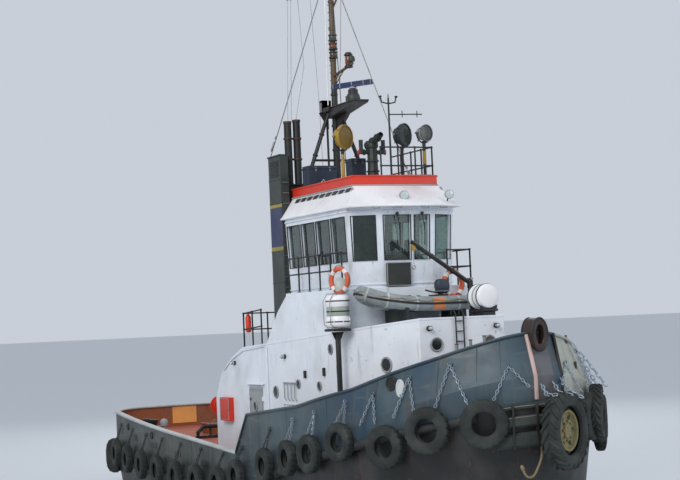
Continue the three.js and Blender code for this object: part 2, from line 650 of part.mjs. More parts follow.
const scannerZ = RADAR.z + 0.36 + GAP;
const SCANNER = { half: 0.65, wide: 0.06, turn: THREE.MathUtils.degToRad(30) };
const scannerPlan = [[-1, -1], [1, -1], [1, 1], [-1, 1]].map(([along, across]) => {
  const [a, b] = [along * SCANNER.half, across * SCANNER.wide];
  const [c, d] = [Math.cos(SCANNER.turn), Math.sin(SCANNER.turn)];
  return [RADAR.x + a * c - b * d, a * d + b * c];
});
const scanner = union([
  rod([RADAR.x, 0, scannerZ], [RADAR.x, 0, scannerZ + 0.12], 0.07, 10),
  prismUp(scannerPlan, scannerZ + 0.08, scannerZ + 0.22),
]);
add("radar_scanner", scanner, "blue");

const STAY_TOP = 15.44;
const collarDisc = rod([MAST_X + 0.09, 0, STAY_TOP - 0.02], [MAST_X + 0.09, 0, STAY_TOP + 0.05], 0.16, 12);
const mast = onRoof(union([...mastPieces, collarDisc]));
add("mast", mast, "brown");
const STAYS = [
  // name, angle of the eye round the mast in degrees, foot
  ["stay_forward", 0, [4.9, 0.57, ROOF_Z - 0.05]],
  ["stay_starboard", 220, [0.2, -1.605, 10.17]],
  ["stay_port", 140, [-1.2, 1.7, 4.7]],
];
for (const [name, angle, foot] of STAYS) {
  const a = THREE.MathUtils.degToRad(angle);
  const eye = [MAST_X + 0.09 + 0.12 * Math.cos(a), 0.12 * Math.sin(a), STAY_TOP];
  const stay = rod(foot, eye, 0.014, 6).subtract(mast).subtract(mast.translate(0, 0, -GAP));
  add(name, onRoof(onHouse(stay)).subtract(funnel).subtract(funnel.translate(0, 0, GAP)), "black");
}

// Roof gear: searchlights and the fire monitor on turning heads
const LIGHTS = [
  // name, x, y, head height, drum radius, degrees to port of ahead, paint
  ["searchlight_aft", 3.75, -0.95, 10.36, 0.34, 28, "yellow"],
  ["searchlight_starboard", 4.62, 0.42, 10.32, 0.32, 30, "green"],
  ["searchlight_port", 4.62, 1.1, 10.38, 0.23, 17, "grey"],
];
const MONITOR = { x: 3.55, y: 0.05 };
const stand = [
  rod([MONITOR.x, MONITOR.y, ROOF_Z + GAP], [MONITOR.x, MONITOR.y, 9.7], 0.18, 10, 0.14),
  box(MONITOR.x - 0.1, 4.7, -0.02, 0.12, ROOF_Z + GAP, ROOF_Z + 0.06),
  box(4.54, 4.7, -0.02, 1.14, ROOF_Z + GAP, ROOF_Z + 0.06),
  box(3.67, 3.83, -1.0, 0.12, ROOF_Z + GAP, ROOF_Z + 0.06),
];
for (const [name, x, y, z, r, degrees, paint] of LIGHTS) {
  const collar = z - r - 0.12;
  stand.push(rod([x, y, ROOF_Z + GAP], [x, y, collar], 0.045, 8));
  const neck = rod([x, y, collar + GAP], [x, y, z - r * 0.7], 0.05, 8);
  const a = THREE.MathUtils.degToRad(degrees);
  const profile = [[0, -0.16], [r * 0.6, -0.13], [r, 0.06], [r, 0.14], [0, 0.14]];
  add(name, neck.add(turned(profile, [x, y, z], [Math.cos(a), Math.sin(a), 0], 14)), paint);
}
add("roof_gear_stand", onRoof(union(stand)), "black");
const monitorHead = union([
  rod([MONITOR.x, MONITOR.y, 9.7 + GAP], [MONITOR.x, MONITOR.y, 10.2], 0.15, 10, 0.13),
  rod([MONITOR.x - 0.22, MONITOR.y, 10.16], [MONITOR.x + 0.5, MONITOR.y, 10.38], 0.13, 10, 0.08),
  rod([MONITOR.x, MONITOR.y - 0.36, 9.98], [MONITOR.x, MONITOR.y + 0.36, 9.98], 0.06, 8),
  rod([MONITOR.x, MONITOR.y - 0.34, 9.93], [MONITOR.x, MONITOR.y - 0.34, 10.3], 0.06, 8),
  rod([MONITOR.x, MONITOR.y + 0.34, 9.93], [MONITOR.x, MONITOR.y + 0.34, 10.3], 0.06, 8),
]);
add("monitor_head", monitorHead, "green");

// Roof lockers: a covered one across the after end, and a smaller one forward of the mast
const lockers = union([
  box(1.5, 1.95, -1.18, -0.3, ROOF_Z + GAP, 9.78),
  box(1.6, 2.9, -0.4, -0.32, ROOF_Z + GAP, ROOF_Z + 0.08),
  box(2.75, 3.15, -0.4, 0.04, ROOF_Z + GAP, 9.86),
]);
add("roof_lockers", lockers, "blue");

// Rails: posts and two or three bars, each a single welded piece
function rail(corners, base, heights, spacing, r = 0.022) {
  const pieces = heights.map((h) => pipe(corners.map(([x, y]) => [x, y, base(x) + h]), r, 4));
  const top = Math.max(...heights);
  for (let i = 0; i + 1 < corners.length; i += 1) {
    const [ax, ay] = corners[i];
    const [bx, by] = corners[i + 1];
    const steps = Math.max(1, Math.round(Math.hypot(bx - ax, by - ay) / spacing));
    for (let k = i > 0 ? 1 : 0; k <= steps; k += 1) {
      const x = ax + ((bx - ax) * k) / steps;
      const y = ay + ((by - ay) * k) / steps;
      pieces.push(rod([x, y, base(x)], [x, y, base(x) + top], r * 1.3, 4));
    }
  }
  return union(pieces);
}

const flat = (z) => () => z;
const roofRail = rail([[2.4, 1.2], [4.86, 1.2], [4.86, -0.35]], flat(ROOF_Z + GAP), [0.55, 1.05], 0.6);
const WIND = { x: 4.86, y: -0.05 };
const windPole = union([
  rod([WIND.x, WIND.y, ROOF_Z + GAP], [WIND.x, WIND.y, 11.3], 0.03, 6),
  rod([WIND.x, WIND.y - 0.22, 11.15], [WIND.x, WIND.y + 0.22, 11.15], 0.022, 6),
  rod([WIND.x, WIND.y - 0.2, 11.14], [WIND.x, WIND.y - 0.24, 11.36], 0.025, 6),
  rod([WIND.x, WIND.y + 0.2, 11.14], [WIND.x, WIND.y + 0.24, 11.36], 0.025, 6),
  rod([WIND.x, WIND.y, 10.85], [WIND.x, WIND.y + 1.0, 10.87], 0.018, 6),
]);
add("roof_rail", roofRail.add(windPole), "black");
const walkRail = rail([[1.9, -1.9], [5.42, -1.9]], flat(TOWER_TOP + GAP), [0.5, 0.95], 0.7);
add("walkway_rail_starboard", walkRail, "black");
const walkRailPort = rail([[1.9, 1.9], [5.44, 1.9], [5.44, 1.2]], flat(TOWER_TOP + GAP), [0.5, 0.95], 0.7);
add("walkway_rail_port", walkRailPort, "black");
const houseTopAt = (x) => lookup(HOUSE_TOP, x) - 0.03;
const houseRail = rail([[-0.2, -1.93], [-1.6, -1.93], [-1.6, 1.93], [0.9, 1.93]], houseTopAt, [0.55, 1.03], 0.75);
add("house_rail", onHouse(houseRail), "black");

// Inflatable dinghy on its cradle across the forward house top, and its outboard
const DINGHY = { x: 6.2, y: -0.1, z: 5.72, half: 1.55, r: 0.19, beam: 0.5 };
const tubePath = [
  // y along the boat, x across, height above the floor
  [1.5, -1, 0.0],
  [0.1, -1, 0.0],
  [-0.8, -0.88, 0.07],
  [-1.4, -0.5, 0.22],
  [-1.68, 0, 0.34],
  [-1.4, 0.5, 0.22],
  [-0.8, 0.88, 0.07],
  [0.1, 1, 0.0],
  [1.5, 1, 0.0],
].map(([y, x, z]) => [DINGHY.x + x * DINGHY.beam, DINGHY.y + y, DINGHY.z + z]);
const floorPlan = [[-0.5, 0.6], [-0.5, -0.5], [0, -1.3], [0.5, -0.5], [0.5, 0.6]];
const dinghyFloor = prismUp(floorPlan.map(([x, y]) => [DINGHY.x + x, DINGHY.y + y]), DINGHY.z - 0.1, DINGHY.z - 0.02);
const TRANSOM = DINGHY.y + 0.55;
const transom = box(DINGHY.x - 0.5, DINGHY.x + 0.5, TRANSOM, TRANSOM + 0.05, DINGHY.z - 0.1, DINGHY.z + 0.24);
const dinghy = union([pipe(tubePath, DINGHY.r, 10), dinghyFloor, transom]);
add("dinghy", dinghy, "grey");
const outboard = union([
  box(DINGHY.x - 0.13, DINGHY.x + 0.13, TRANSOM - 0.06, TRANSOM + 0.34, DINGHY.z + 0.25, DINGHY.z + 0.64),
  box(DINGHY.x - 0.05, DINGHY.x + 0.05, TRANSOM + 0.05 + GAP, TRANSOM + 0.17, DINGHY.z - 0.2, DINGHY.z + 0.3),
]);
add("outboard", outboard, "blue");
const cradle = union([
  box(DINGHY.x - 0.6, DINGHY.x + 0.6, -0.8, -0.7, 5.0, DINGHY.z - 0.06),
  box(DINGHY.x - 0.6, DINGHY.x + 0.6, 0.85, 0.95, 5.0, DINGHY.z - 0.06),
  box(DINGHY.x - 0.05, DINGHY.x + 0.05, -0.8, 0.95, 5.0, 5.35),
]);
add("dinghy_cradle", onHouse(cradle).subtract(dinghy.translate(0, 0, -GAP)).subtract(dinghy), "black");

// Life rafts: one on a post outboard of the starboard corner, one on the port side of the house top
const raftPost = union([
  rod([5.75, -2.25, 2.0], [5.75, -2.25, 5.14], 0.07, 8),
  box(5.5, 6.0, -2.46, -2.03, 5.08, 5.2),
]);
const drumProfile = [[0, 0], [0.26, 0], [0.31, 0.1], [0.31, 0.75], [0.26, 0.85], [0, 0.85]];
add("raft_post", onDeck(raftPost), "black");
add("life_raft_starboard", turned(drumProfile, [5.75, -2.22, 5.2 + GAP], [0, 0, 1], 16), "white");
const raftFoot = union([
  box(7.2, 7.8, 0.85, 1.25, 5.1, 5.45),
  box(7.15, 7.85, 0.82, 1.28, 5.45, 5.54),
]);
const portDrum = [[0, 0], [0.26, 0], [0.32, 0.08], [0.32, 0.62], [0.26, 0.7], [0, 0.7]];
const portRaft = turned(portDrum, [7.15, 1.05, 5.84], [1, 0, 0], 16).add(raftFoot);
add("life_raft_port", onHouse(portRaft), "white");

// Davit at the tower's port forward corner
const DAVIT = { x: 6.0, y: 1.55, top: 6.1 };
add("davit_post", onHouse(rod([DAVIT.x, DAVIT.y, 5.0], [DAVIT.x, DAVIT.y, DAVIT.top], 0.07, 10)), "black");
const boom = union([
  rod([DAVIT.x, DAVIT.y, DAVIT.top + GAP], [DAVIT.x, DAVIT.y, DAVIT.top + 0.2], 0.08, 10),
  rod([DAVIT.x, DAVIT.y, DAVIT.top + 0.12], [DAVIT.x, DAVIT.y - 1.7, DAVIT.top + 1.25], 0.055, 8),
]);
add("davit_boom", boom, "black");

// Engine block inside the deckhouse
add("engine_block", onDeck(box(-2.2, 0.4, -0.6, 0.6, 1.0, 2.5)), "steel");

// Tow winch abaft the deckhouse: frame with two cheeks, drum turning between them
const WINCH = { x: -5.3, z: 2.2 };
const winchFrame = union([
  box(WINCH.x - 0.7, WINCH.x + 0.6, -1.0, 1.0, 1.2, 1.62),
  box(WINCH.x - 0.4, WINCH.x + 0.4, -1.0, -0.9, 1.5, 2.5),
  box(WINCH.x - 0.4, WINCH.x + 0.4, 0.9, 1.0, 1.5, 2.5),
]);
add("tow_winch_frame", onDeck(winchFrame), "black");
function drum(at, half, flange, barrel, axle, cheek, sides) {
  // barrel between flanges, with axle stubs out to the cheeks' inner faces
  const profile = [[0, GAP - cheek], [axle, GAP - cheek], [axle, -half], [flange, -half], [flange, -half + 0.05],
    [barrel, -half + 0.05], [barrel, half - 0.05], [flange, half - 0.05], [flange, half], [axle, half],
    [axle, cheek - GAP], [0, cheek - GAP]];
  return turned(profile, at, [0, 1, 0], sides);
}
add("tow_winch_drum", drum([WINCH.x, 0, WINCH.z], 0.85, 0.52, 0.24, 0.08, 0.9, 16), "steel");

// Towing hook: swings about an upright pin on its pedestal, above the low beam that carries the tow rope
const HOOK = { x: -7.0, z: 2.25 };
const hookPost = union([
  box(HOOK.x - 0.2, HOOK.x + 0.45, -0.3, 0.3, 1.2, 2.1),
  rod([HOOK.x, 0, 2.0], [HOOK.x, 0, 2.42], 0.06, 10),
  rod([HOOK.x, 0, 2.0], [HOOK.x, 0, HOOK.z - 0.07 - GAP], 0.12, 12),
]);
const BEAM = { x: -7.92, half: 1.25, z: 2.03 };
const beamPath = [[-BEAM.half, 1.4], [-BEAM.half, 1.85], [-1.05, BEAM.z], [1.05, BEAM.z], [BEAM.half, 1.85], [BEAM.half, 1.4]];
const towingBeam = union([
  pipe(beamPath.map(([y, z]) => [BEAM.x, y, z]), 0.07, 8),
  ...[-0.8, -0.4, 0, 0.4, 0.8].map((y) => rod([BEAM.x, y, 1.4], [BEAM.x, y, BEAM.z], 0.04, 6)),
  box(BEAM.x - 0.08, BEAM.x + 0.08, -BEAM.half - 0.07, BEAM.half + 0.07, 1.4, 1.74),
  box(BEAM.x, HOOK.x, -0.12, 0.12, 1.4, 1.74),
]);
add("hook_pedestal", onDeck(hookPost.add(towingBeam)), "black");
const hookPlan = [[-0.14, -0.13], [0.14, -0.13], [0.14, 0.13], [-0.14, 0.13], [-0.5, 0.07], [-0.78, 0.14], [-0.82, -0.06],
  [-0.72, -0.16], [-0.7, -0.02], [-0.5, -0.05]];
const hook = prismUp(hookPlan.map(([x, y]) => [HOOK.x + x, y]), HOOK.z - 0.07, HOOK.z + 0.07).subtract(
  rod([HOOK.x, 0, 2], [HOOK.x, 0, 2.6], 0.06 + CLEAR * 1.3, 10),
);
add("towing_hook", hook, "brown");

// Deck fittings: bitts are two posts on a base, each pair one casting
function bitts(x, y, along) {
  const [dx, dy] = along;
  const posts = [-1, 1].map((k) => rod([x + k * dx, y + k * dy, 1], [x + k * dx, y + k * dy, lookup(DECK_Z, x) + 0.55], 0.11, 12));
  const caps = [-1, 1].map((k) => {
    const z = lookup(DECK_Z, x) + 0.5;
    return rod([x + k * dx, y + k * dy, z], [x + k * dx, y + k * dy, z + 0.06], 0.15, 12);
  });
  const base = box(x - dx - 0.2, x + dx + 0.2, y - dy - 0.2, y + dy + 0.2, 1, lookup(DECK_Z, x) + 0.08);
  return onDeck(union([...posts, ...caps, base]));
}
const aftBitts = bitts(-9.6, -2.35, [0.35, 0]);
add("bitts_aft_starboard", aftBitts, "black");
add("bitts_aft_port", mirrored(aftBitts), "black");
add("bow_bitts", bitts(10.45, 0, [0, 0.42]), "black");

// Engine-room hatch on the after deck: coaming and a lid hinged at its forward edge
const HATCH = { x0: -9.6, x1: -8.6, half: 0.5, z: 2.02 };
const coamingBox = box(HATCH.x0, HATCH.x1, -HATCH.half, HATCH.half, 1.2, HATCH.z);
const coamingHole = box(HATCH.x0 + 0.06, HATCH.x1 - 0.06, -HATCH.half + 0.06, HATCH.half - 0.06, 1, 3);
add("hatch_coaming", onDeck(coamingBox.subtract(coamingHole)), "orange");
const lid = box(HATCH.x0 - 0.04, HATCH.x1 + 0.04, -HATCH.half - 0.04, HATCH.half + 0.04, HATCH.z + GAP, HATCH.z + 0.05);
add("hatch_lid", lid, "orange");

// Windlass on the foredeck
const LASS = { x: 9.4, z: 3.75 };
const lassFrame = union([
  box(LASS.x - 0.35, LASS.x + 0.35, -0.62, -0.52, 2.9, 4.0),
  box(LASS.x - 0.35, LASS.x + 0.35, 0.52, 0.62, 2.9, 4.0),
  box(LASS.x - 0.45, LASS.x + 0.45, -0.62, 0.62, 2.9, 3.3),
]);
add("windlass_frame", onDeck(lassFrame), "black");
add("windlass_drum", drum([LASS.x, 0, LASS.z], 0.49, 0.3, 0.15, 0.05, 0.52, 14), "steel");

// The big tyres at the bow, lugged, on their rims
function bowTyre({ at, azimuth, r, width, lugs }) {
  const axis = [Math.cos(azimuth), Math.sin(azimuth), 0];
  const body = tyre(r * 0.95, r * 0.5, width, at, axis, 18);
  const rim = turned([[0, -width * 0.1], [r * 0.52, -width * 0.25], [r * 0.52, width * 0.25], [0, width * 0.1]], at, axis, 14);
  const side = new THREE.Vector3(-axis[1], axis[0], 0);
  const lug = (k) => {
    const a = (k / lugs) * 2 * Math.PI;
    const out = side.clone().multiplyScalar(Math.cos(a)).add(new THREE.Vector3(0, 0, Math.sin(a)));
    const from = out.clone().multiplyScalar(r * 0.78).add(new THREE.Vector3(...at));
    const to = out.clone().multiplyScalar(r).add(new THREE.Vector3(...at));
    const shift = new THREE.Vector3(...axis).multiplyScalar(((k % 2) - 0.5) * width * 0.45);
    return rod(from.add(shift).toArray(), to.add(shift).toArray(), r * 0.07, 4);
  };
  return union([body, rim, ...Array.from({ length: lugs }, (_, k) => lug(k))]);
}
const BIG_TYRE = { at: [12.26, 0.27, 2.7], azimuth: THREE.MathUtils.degToRad(31), r: 0.88, width: 0.42, lugs: 16 };
const FAR_TYRE = { at: [11.36, 1.75, 2.97], azimuth: THREE.MathUtils.degToRad(52), r: 0.68, width: 0.28, lugs: 0 };
function onBow(shape) {
  // rubber bearing on the fenders is flattened where they meet
  const behind = union([hull, bowFenderSolid, mirrored(starboardFender)]);
  const steps = [[0, 0, 0], [GAP, 0, 0], [0, GAP, 0], [0, -GAP, 0], [0, 0, GAP], [0, 0, -GAP]];
  return steps.reduce((rest, step) => rest.subtract(behind.translate(step)), shape);
}
add("bow_tyre_large", onBow(bowTyre(BIG_TYRE)), "rubber");
add("bow_tyre_port", onBow(bowTyre(FAR_TYRE)), "rubber");

// Propellers and rudders
function propeller(y, hand) {
  const hub = turned([[0, -0.2], [0.12, -0.16], [0.17, 0], [0.17, 0.2 - GAP], [0, 0.2 - GAP]], [PROP.x, y, PROP.z], [1, 0, 0], 12);
  const blades = [0, 1, 2, 3].map((k) => {
    const shape = [[0.1, -0.1], [0.45, -0.26], [0.8, -0.24], [0.94, -0.06], [0.94, 0.06], [0.8, 0.24], [0.45, 0.26], [0.1, 0.1]];
    const geometry = new THREE.ExtrudeGeometry(outline(shape), { depth: 0.03, bevelEnabled: false });
    geometry.translate(0, 0, -0.015);
    geometry.rotateX(hand * THREE.MathUtils.degToRad(62));
    geometry.rotateY(-Math.PI / 2);
    geometry.rotateX((k * Math.PI) / 2);
    geometry.translate(PROP.x, y, PROP.z);
    return solid(geometry);
  });
  return union([hub, ...blades]);
}
add("propeller_starboard", propeller(-PROP.y, 1), "bronze");
add("propeller_port", propeller(PROP.y, -1), "bronze");

const rudderPlan = [[-0.75, 0], [-0.2, -0.07], [0.15, -0.08], [0.32, 0], [0.15, 0.08], [-0.2, 0.07]];
const rudder = prismUp(rudderPlan.map(([x, y]) => [RUDDER.x + x, PROP.y + y]), RUDDER.bottom, RUDDER.top).add(
  rod([RUDDER.x, PROP.y, RUDDER.top - 0.1], [RUDDER.x, PROP.y, RUDDER.trunk - GAP], 0.07, 10),
);
add("rudder_port", rudder, "black");
add("rudder_starboard", mirrored(rudder), "black");

export default group;
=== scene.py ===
import math

import bmesh
import bpy
from mathutils import Matrix, Vector


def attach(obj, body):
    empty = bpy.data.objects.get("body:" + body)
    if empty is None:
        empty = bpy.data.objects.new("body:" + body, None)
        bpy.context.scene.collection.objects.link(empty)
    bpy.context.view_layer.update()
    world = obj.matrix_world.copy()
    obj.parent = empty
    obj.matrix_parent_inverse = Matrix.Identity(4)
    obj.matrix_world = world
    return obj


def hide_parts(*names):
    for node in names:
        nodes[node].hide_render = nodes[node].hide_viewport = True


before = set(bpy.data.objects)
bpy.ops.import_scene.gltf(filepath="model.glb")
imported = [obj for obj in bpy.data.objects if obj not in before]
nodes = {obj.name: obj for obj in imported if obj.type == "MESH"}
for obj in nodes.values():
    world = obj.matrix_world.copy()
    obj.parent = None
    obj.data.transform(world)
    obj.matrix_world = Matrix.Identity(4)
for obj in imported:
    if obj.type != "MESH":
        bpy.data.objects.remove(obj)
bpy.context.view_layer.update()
BODY = "hull_body"


# Camera: the photograph's view, from the starboard bow, looking slightly up and rolled a little

EYE = Vector((42.964, -19.426, 5.4))
HEADING = math.radians(25.0)
PITCH = math.atan(80 / 1600)
ROLL = math.radians(2.5)
LENS = 36 * 1600 / 680

ahead = Vector((-math.cos(HEADING), math.sin(HEADING), 0))
right = Vector((math.sin(HEADING), math.cos(HEADING), 0))
look = ahead * math.cos(PITCH) + Vector((0, 0, 1)) * math.sin(PITCH)
above = Vector((0, 0, 1)) * math.cos(PITCH) - ahead * math.sin(PITCH)
cam_x = right * math.cos(ROLL) - above * math.sin(ROLL)
cam_y = right * math.sin(ROLL) + above * math.cos(ROLL)

camera = bpy.data.objects.new("camera", bpy.data.cameras.new("camera"))
camera.data.lens = LENS
camera.data.clip_end = 3000
camera.matrix_world = Matrix(
    (
        (cam_x.x, cam_y.x, -look.x, EYE.x),
        (cam_x.y, cam_y.y, -look.y, EYE.y),
        (cam_x.z, cam_y.z, -look.z, EYE.z),
        (0, 0, 0, 1),
    )
)
bpy.context.scene.collection.objects.link(camera)
bpy.context.scene.camera = camera

# Colours, linear RGB

SLATE = (0.028, 0.056, 0.076)
SEA_GREEN = (0.022, 0.031, 0.028)
BLACK = (0.007, 0.0085, 0.009)
ANTIFOUL = (0.13, 0.03, 0.02)
WHITE = (0.72, 0.77, 0.83)
RED = (0.62, 0.030, 0.008)
ORANGE = (0.24, 0.065, 0.018)
DECK_RED = (0.36, 0.085, 0.045)
RUST = (0.09, 0.032, 0.014)
RUBBER = (0.010, 0.0125, 0.0115)
GREY = (0.30, 0.32, 0.33)
PALE = (0.50, 0.53, 0.53)
BLUE = (0.014, 0.026, 0.085)
BRONZE = (0.42, 0.27, 0.09)
OLIVE = (0.20, 0.17, 0.065)

# Materials: every one is a base colour broken up by noise, with streaks, grime and a fine bump


def shade(color, k):
    return tuple(min(1.0, c * k) for c in color)


class Nodes:
    def __init__(self, name):
        self.material = bpy.data.materials.new(name)
        self.material.use_nodes = True
        self.tree = self.material.node_tree
        self.shader = self.tree.nodes["Principled BSDF"]
        self.place = self.new("ShaderNodeTexCoord").outputs["Object"]

    def new(self, kind, **settings):
        node = self.tree.nodes.new(kind)
        for key, value in settings.items():
            setattr(node, key, value)
        return node

    def put(self, socket, value):
        if isinstance(value, bpy.types.NodeSocket):
            self.tree.links.new(value, socket)
        elif isinstance(value, tuple):
            socket.default_value = (*value, 1.0) if len(socket.default_value) == 4 else value
        else:
            socket.default_value = value

    def noise(self, scale, detail=5.0, stretch=(1, 1, 1)):
        mapping = self.new("ShaderNodeMapping")
        self.put(mapping.inputs["Vector"], self.place)
        self.put(mapping.inputs["Scale"], stretch)
        texture = self.new("ShaderNodeTexNoise")
        self.put(texture.inputs["Vector"], mapping.outputs[0])
        self.put(texture.inputs["Scale"], float(scale))
        self.put(texture.inputs["Detail"], float(detail))
        return texture.outputs[0]

    def rise(self, value, low, high):
        node = self.new("ShaderNodeMapRange", interpolation_type="SMOOTHSTEP")
        self.put(node.inputs["Value"], value)
        self.put(node.inputs["From Min"], float(low))
        self.put(node.inputs["From Max"], float(high))
        return node.outputs["Result"]

    def mix(self, factor, a, b):
        node = self.new("ShaderNodeMix", data_type="RGBA")
        self.put(node.inputs["Factor"], factor)
        self.put(node.inputs[6], a)
        self.put(node.inputs[7], b)
        return node.outputs[2]

    def tint(self, mask, amount, color, over):
        """color, with over showing where the mask is bright"""
        return self.mix(self.math("MULTIPLY", mask, amount), color, over)

    def math(self, operation, a, b):
        node = self.new("ShaderNodeMath", operation=operation)
        self.put(node.inputs[0], a)
        self.put(node.inputs[1], b)
        return node.outputs[0]

    def axis(self, name):
        node = self.new("ShaderNodeSeparateXYZ")
        self.put(node.inputs[0], self.place)
        return node.outputs[name]

    def bump(self, height, strength, distance=0.01):
        node = self.new("ShaderNodeBump")
        self.put(node.inputs["Height"], height)
        self.put(node.inputs["Strength"], strength)
        self.put(node.inputs["Distance"], distance)
        self.put(self.shader.inputs["Normal"], node.outputs[0])

    def roughness(self, low, high):
        node = self.new("ShaderNodeMapRange")
        self.put(node.inputs["Value"], self.noise(3.0))
        self.put(node.inputs["To Min"], low)
        self.put(node.inputs["To Max"], high)
        self.put(self.shader.inputs["Roughness"], node.outputs["Result"])


def weathered(nodes_, base, rust, grime):
    """Rust runs down and soft dirt gathers over a base colour."""
    color = base
    if grime:
        dirt = nodes_.rise(nodes_.noise(0.9, 6), 0.48, 0.72)
        color = nodes_.tint(dirt, grime, color, (0.10, 0.095, 0.085))
    if rust:
        runs = nodes_.rise(nodes_.noise(1.0, 6, (5.0, 5.0, 0.55)), 0.60, 0.74)
        spots = nodes_.rise(nodes_.noise(7.0, 4), 0.64, 0.72)
        both = nodes_.math("MAXIMUM", runs, spots)
        color = nodes_.tint(both, rust, color, RUST)
    return color


def coated(n, color, rust, grime, low, high, bump=0.15):
    """ends a painted material: weathering, gloss and a fine bump"""
    n.put(n.shader.inputs["Base Color"], weathered(n, color, rust, grime))
    n.roughness(low, high)
    n.bump(n.noise(14, 6), bump)
    return n.material


def paint(name, color, rough, metal=0.0, mottle=0.14, patch=1.6, rust=0.0, grime=0.2, bump=0.15):
    n = Nodes(name)
    tone = n.mix(n.noise(patch, 6), shade(color, 1 - mottle), shade(color, 1 + mottle))
    n.put(n.shader.inputs["Metallic"], metal)
    return coated(n, tone, rust, grime, max(0.05, rough - 0.12), min(1.0, rough + 0.15), bump)


def rubber(name, color, worn=0.5):
    n = Nodes(name)
    tone = n.mix(n.noise(5, 8), shade(color, 0.6), shade(color, 1.9))
    dust = n.rise(n.noise(2.2, 8), 0.42, 0.70)
    n.put(n.shader.inputs["Base Color"], n.tint(dust, worn, tone, (0.055, 0.066, 0.060)))
    n.roughness(0.62, 0.95)
    n.bump(n.noise(38, 8), 0.5)
    return n.material


KNUCKLE = [(-12.3, 1.15), (-6, 0.95), (0, 0.85), (2, 1.05), (3.5, 1.4), (6, 1.98), (8, 2.4), (9.3, 2.72),
           (10.3, 2.93), (11, 3.08), (11.6, 3.28), (11.9, 3.35)]
HULL_LOW_X, HULL_HIGH_X = -12.4, 12.0


def hull_paint():
    """Slate above the knuckle forward, dark grey-green aft, black below it, red-brown under water; painted
    half-light on the stem front and a painted sun reflection on the port bow.
    """
    n = Nodes("hull_coat")
    x = n.axis("X")
    z = n.axis("Z")
    along = n.new("ShaderNodeMapRange")
    n.put(along.inputs["Value"], x)
    n.put(along.inputs["From Min"], HULL_LOW_X)
    n.put(along.inputs["From Max"], HULL_HIGH_X)
    curve = n.new("ShaderNodeFloatCurve")
    n.put(curve.inputs["Value"], along.outputs["Result"])
    points = curve.mapping.curves[0].points
    for k, (px, pz) in enumerate(KNUCKLE):
        place = ((px - HULL_LOW_X) / (HULL_HIGH_X - HULL_LOW_X), pz / 5)
        if k < 2:
            points[k].location = place
        else:
            points.new(*place)
    for point in points:
        point.handle_type = "VECTOR"
    curve.mapping.update()
    knuckle = n.math("MULTIPLY", curve.outputs[0], 5.0)
    height = n.math("SUBTRACT", z, knuckle)
    upper = n.mix(n.rise(x, -1.0, 5.5), SEA_GREEN, SLATE)
    worn = n.mix(n.rise(x, -1.0, 5.5), (0.062, 0.072, 0.064), (0.060, 0.095, 0.115))
    cloudy = n.mix(n.rise(n.noise(0.8, 7), 0.38, 0.72), upper, worn)
    deep = n.mix(n.rise(n.noise(0.6, 3, (1, 1, 0.4)), 0.55, 0.66), cloudy,
                 n.mix(n.rise(x, 6, 9), cloudy, (0.016, 0.045, 0.085)))
    streaks = n.rise(n.noise(1.0, 8, (6.0, 6.0, 0.35)), 0.56, 0.68)
    streaked = n.tint(streaks, 0.55, deep, (0.075, 0.092, 0.088))
    scuffs = n.rise(n.noise(1.0, 8, (0.7, 0.7, 5.0)), 0.60, 0.70)
    scuffs_and_painted_light = n.tint(scuffs, 0.5, streaked, (0.11, 0.135, 0.135))
    y = n.axis("Y")
    # painted half-light: lighter grey across the stem front, where the bow turns from the shaded starboard
    # side to the sunlit port side
    stem_half_light = n.math("MULTIPLY", n.rise(y, -0.24, -0.16), n.rise(x, 10.2, 10.3))
    half_light_grey = n.mix(n.noise(3.0, 6), (0.075, 0.072, 0.078), (0.14, 0.13, 0.135))
    greyed = n.tint(stem_half_light, 0.75, scuffs_and_painted_light, half_light_grey)
    slate_again = n.mix(n.rise(y, 0.26, 0.32), greyed, scuffs_and_painted_light)
    # painted sun reflection: pale cream over the port bow plating, which carries the same slate paint as the
    # starboard bow
    sun_glare = n.math("MULTIPLY", n.rise(y, 0.57, 0.63), n.rise(x, 10.35, 10.45))
    scuffs_and_painted_light = n.mix(sun_glare, slate_again, n.mix(n.noise(2.5, 6), (0.30, 0.31, 0.26), (0.46, 0.47, 0.41)))
    lower = n.mix(n.noise(1.5, 7), shade(BLACK, 0.6), shade(BLACK, 1.5))
    below = n.mix(n.rise(z, -0.32, -0.22), ANTIFOUL, lower)
    color = n.mix(n.rise(height, -0.015, 0.015), below, scuffs_and_painted_light)
    n.put(n.shader.inputs["Base Color"], weathered(n, color, 0.55, 0.25))
    n.roughness(0.35, 0.65)
    n.bump(n.noise(1.2, 3), 0.35, 0.03)
    return n.material


FUNNEL_BANDS = [
    # from z, to z, colour
    (7.46, 7.58, (0.30, 0.24, 0.05)),
    (7.58, 8.70, (0.018, 0.030, 0.10)),
    (8.70, 8.80, (0.36, 0.27, 0.04)),
]


def funnel_paint():
    """Dark grey-green, with a blue band between two ochre ones on the outboard face."""
    n = Nodes("funnel_coat")
    z = n.axis("Z")
    color = n.mix(n.noise(1.6, 6), (0.018, 0.026, 0.024), (0.045, 0.056, 0.052))
    outboard = n.rise(n.axis("Y"), -1.605, -1.622)
    for low, high, band in FUNNEL_BANDS:
        inside = n.math("MULTIPLY", n.rise(z, low, low + 0.01), n.rise(z, high, high - 0.01))
        worn = n.mix(n.noise(4.0, 6), shade(band, 0.7), shade(band, 1.25))
        color = n.tint(inside, outboard, color, worn)
    return coated(n, color, 0.3, 0.3, 0.4, 0.65)


def mast_paint():
    """Black up to the lamp brackets, ochre-brown above."""
    n = Nodes("mast_coat")
    dark = n.mix(n.noise(2.0, 6), (0.006, 0.006, 0.007), (0.020, 0.017, 0.016))
    ochre = n.mix(n.noise(2.5, 6), (0.045, 0.022, 0.010), (0.13, 0.075, 0.028))
    color = n.mix(n.rise(n.axis("Z"), 12.0, 12.3), dark, ochre)
    return coated(n, color, 0.4, 0.25, 0.4, 0.65)


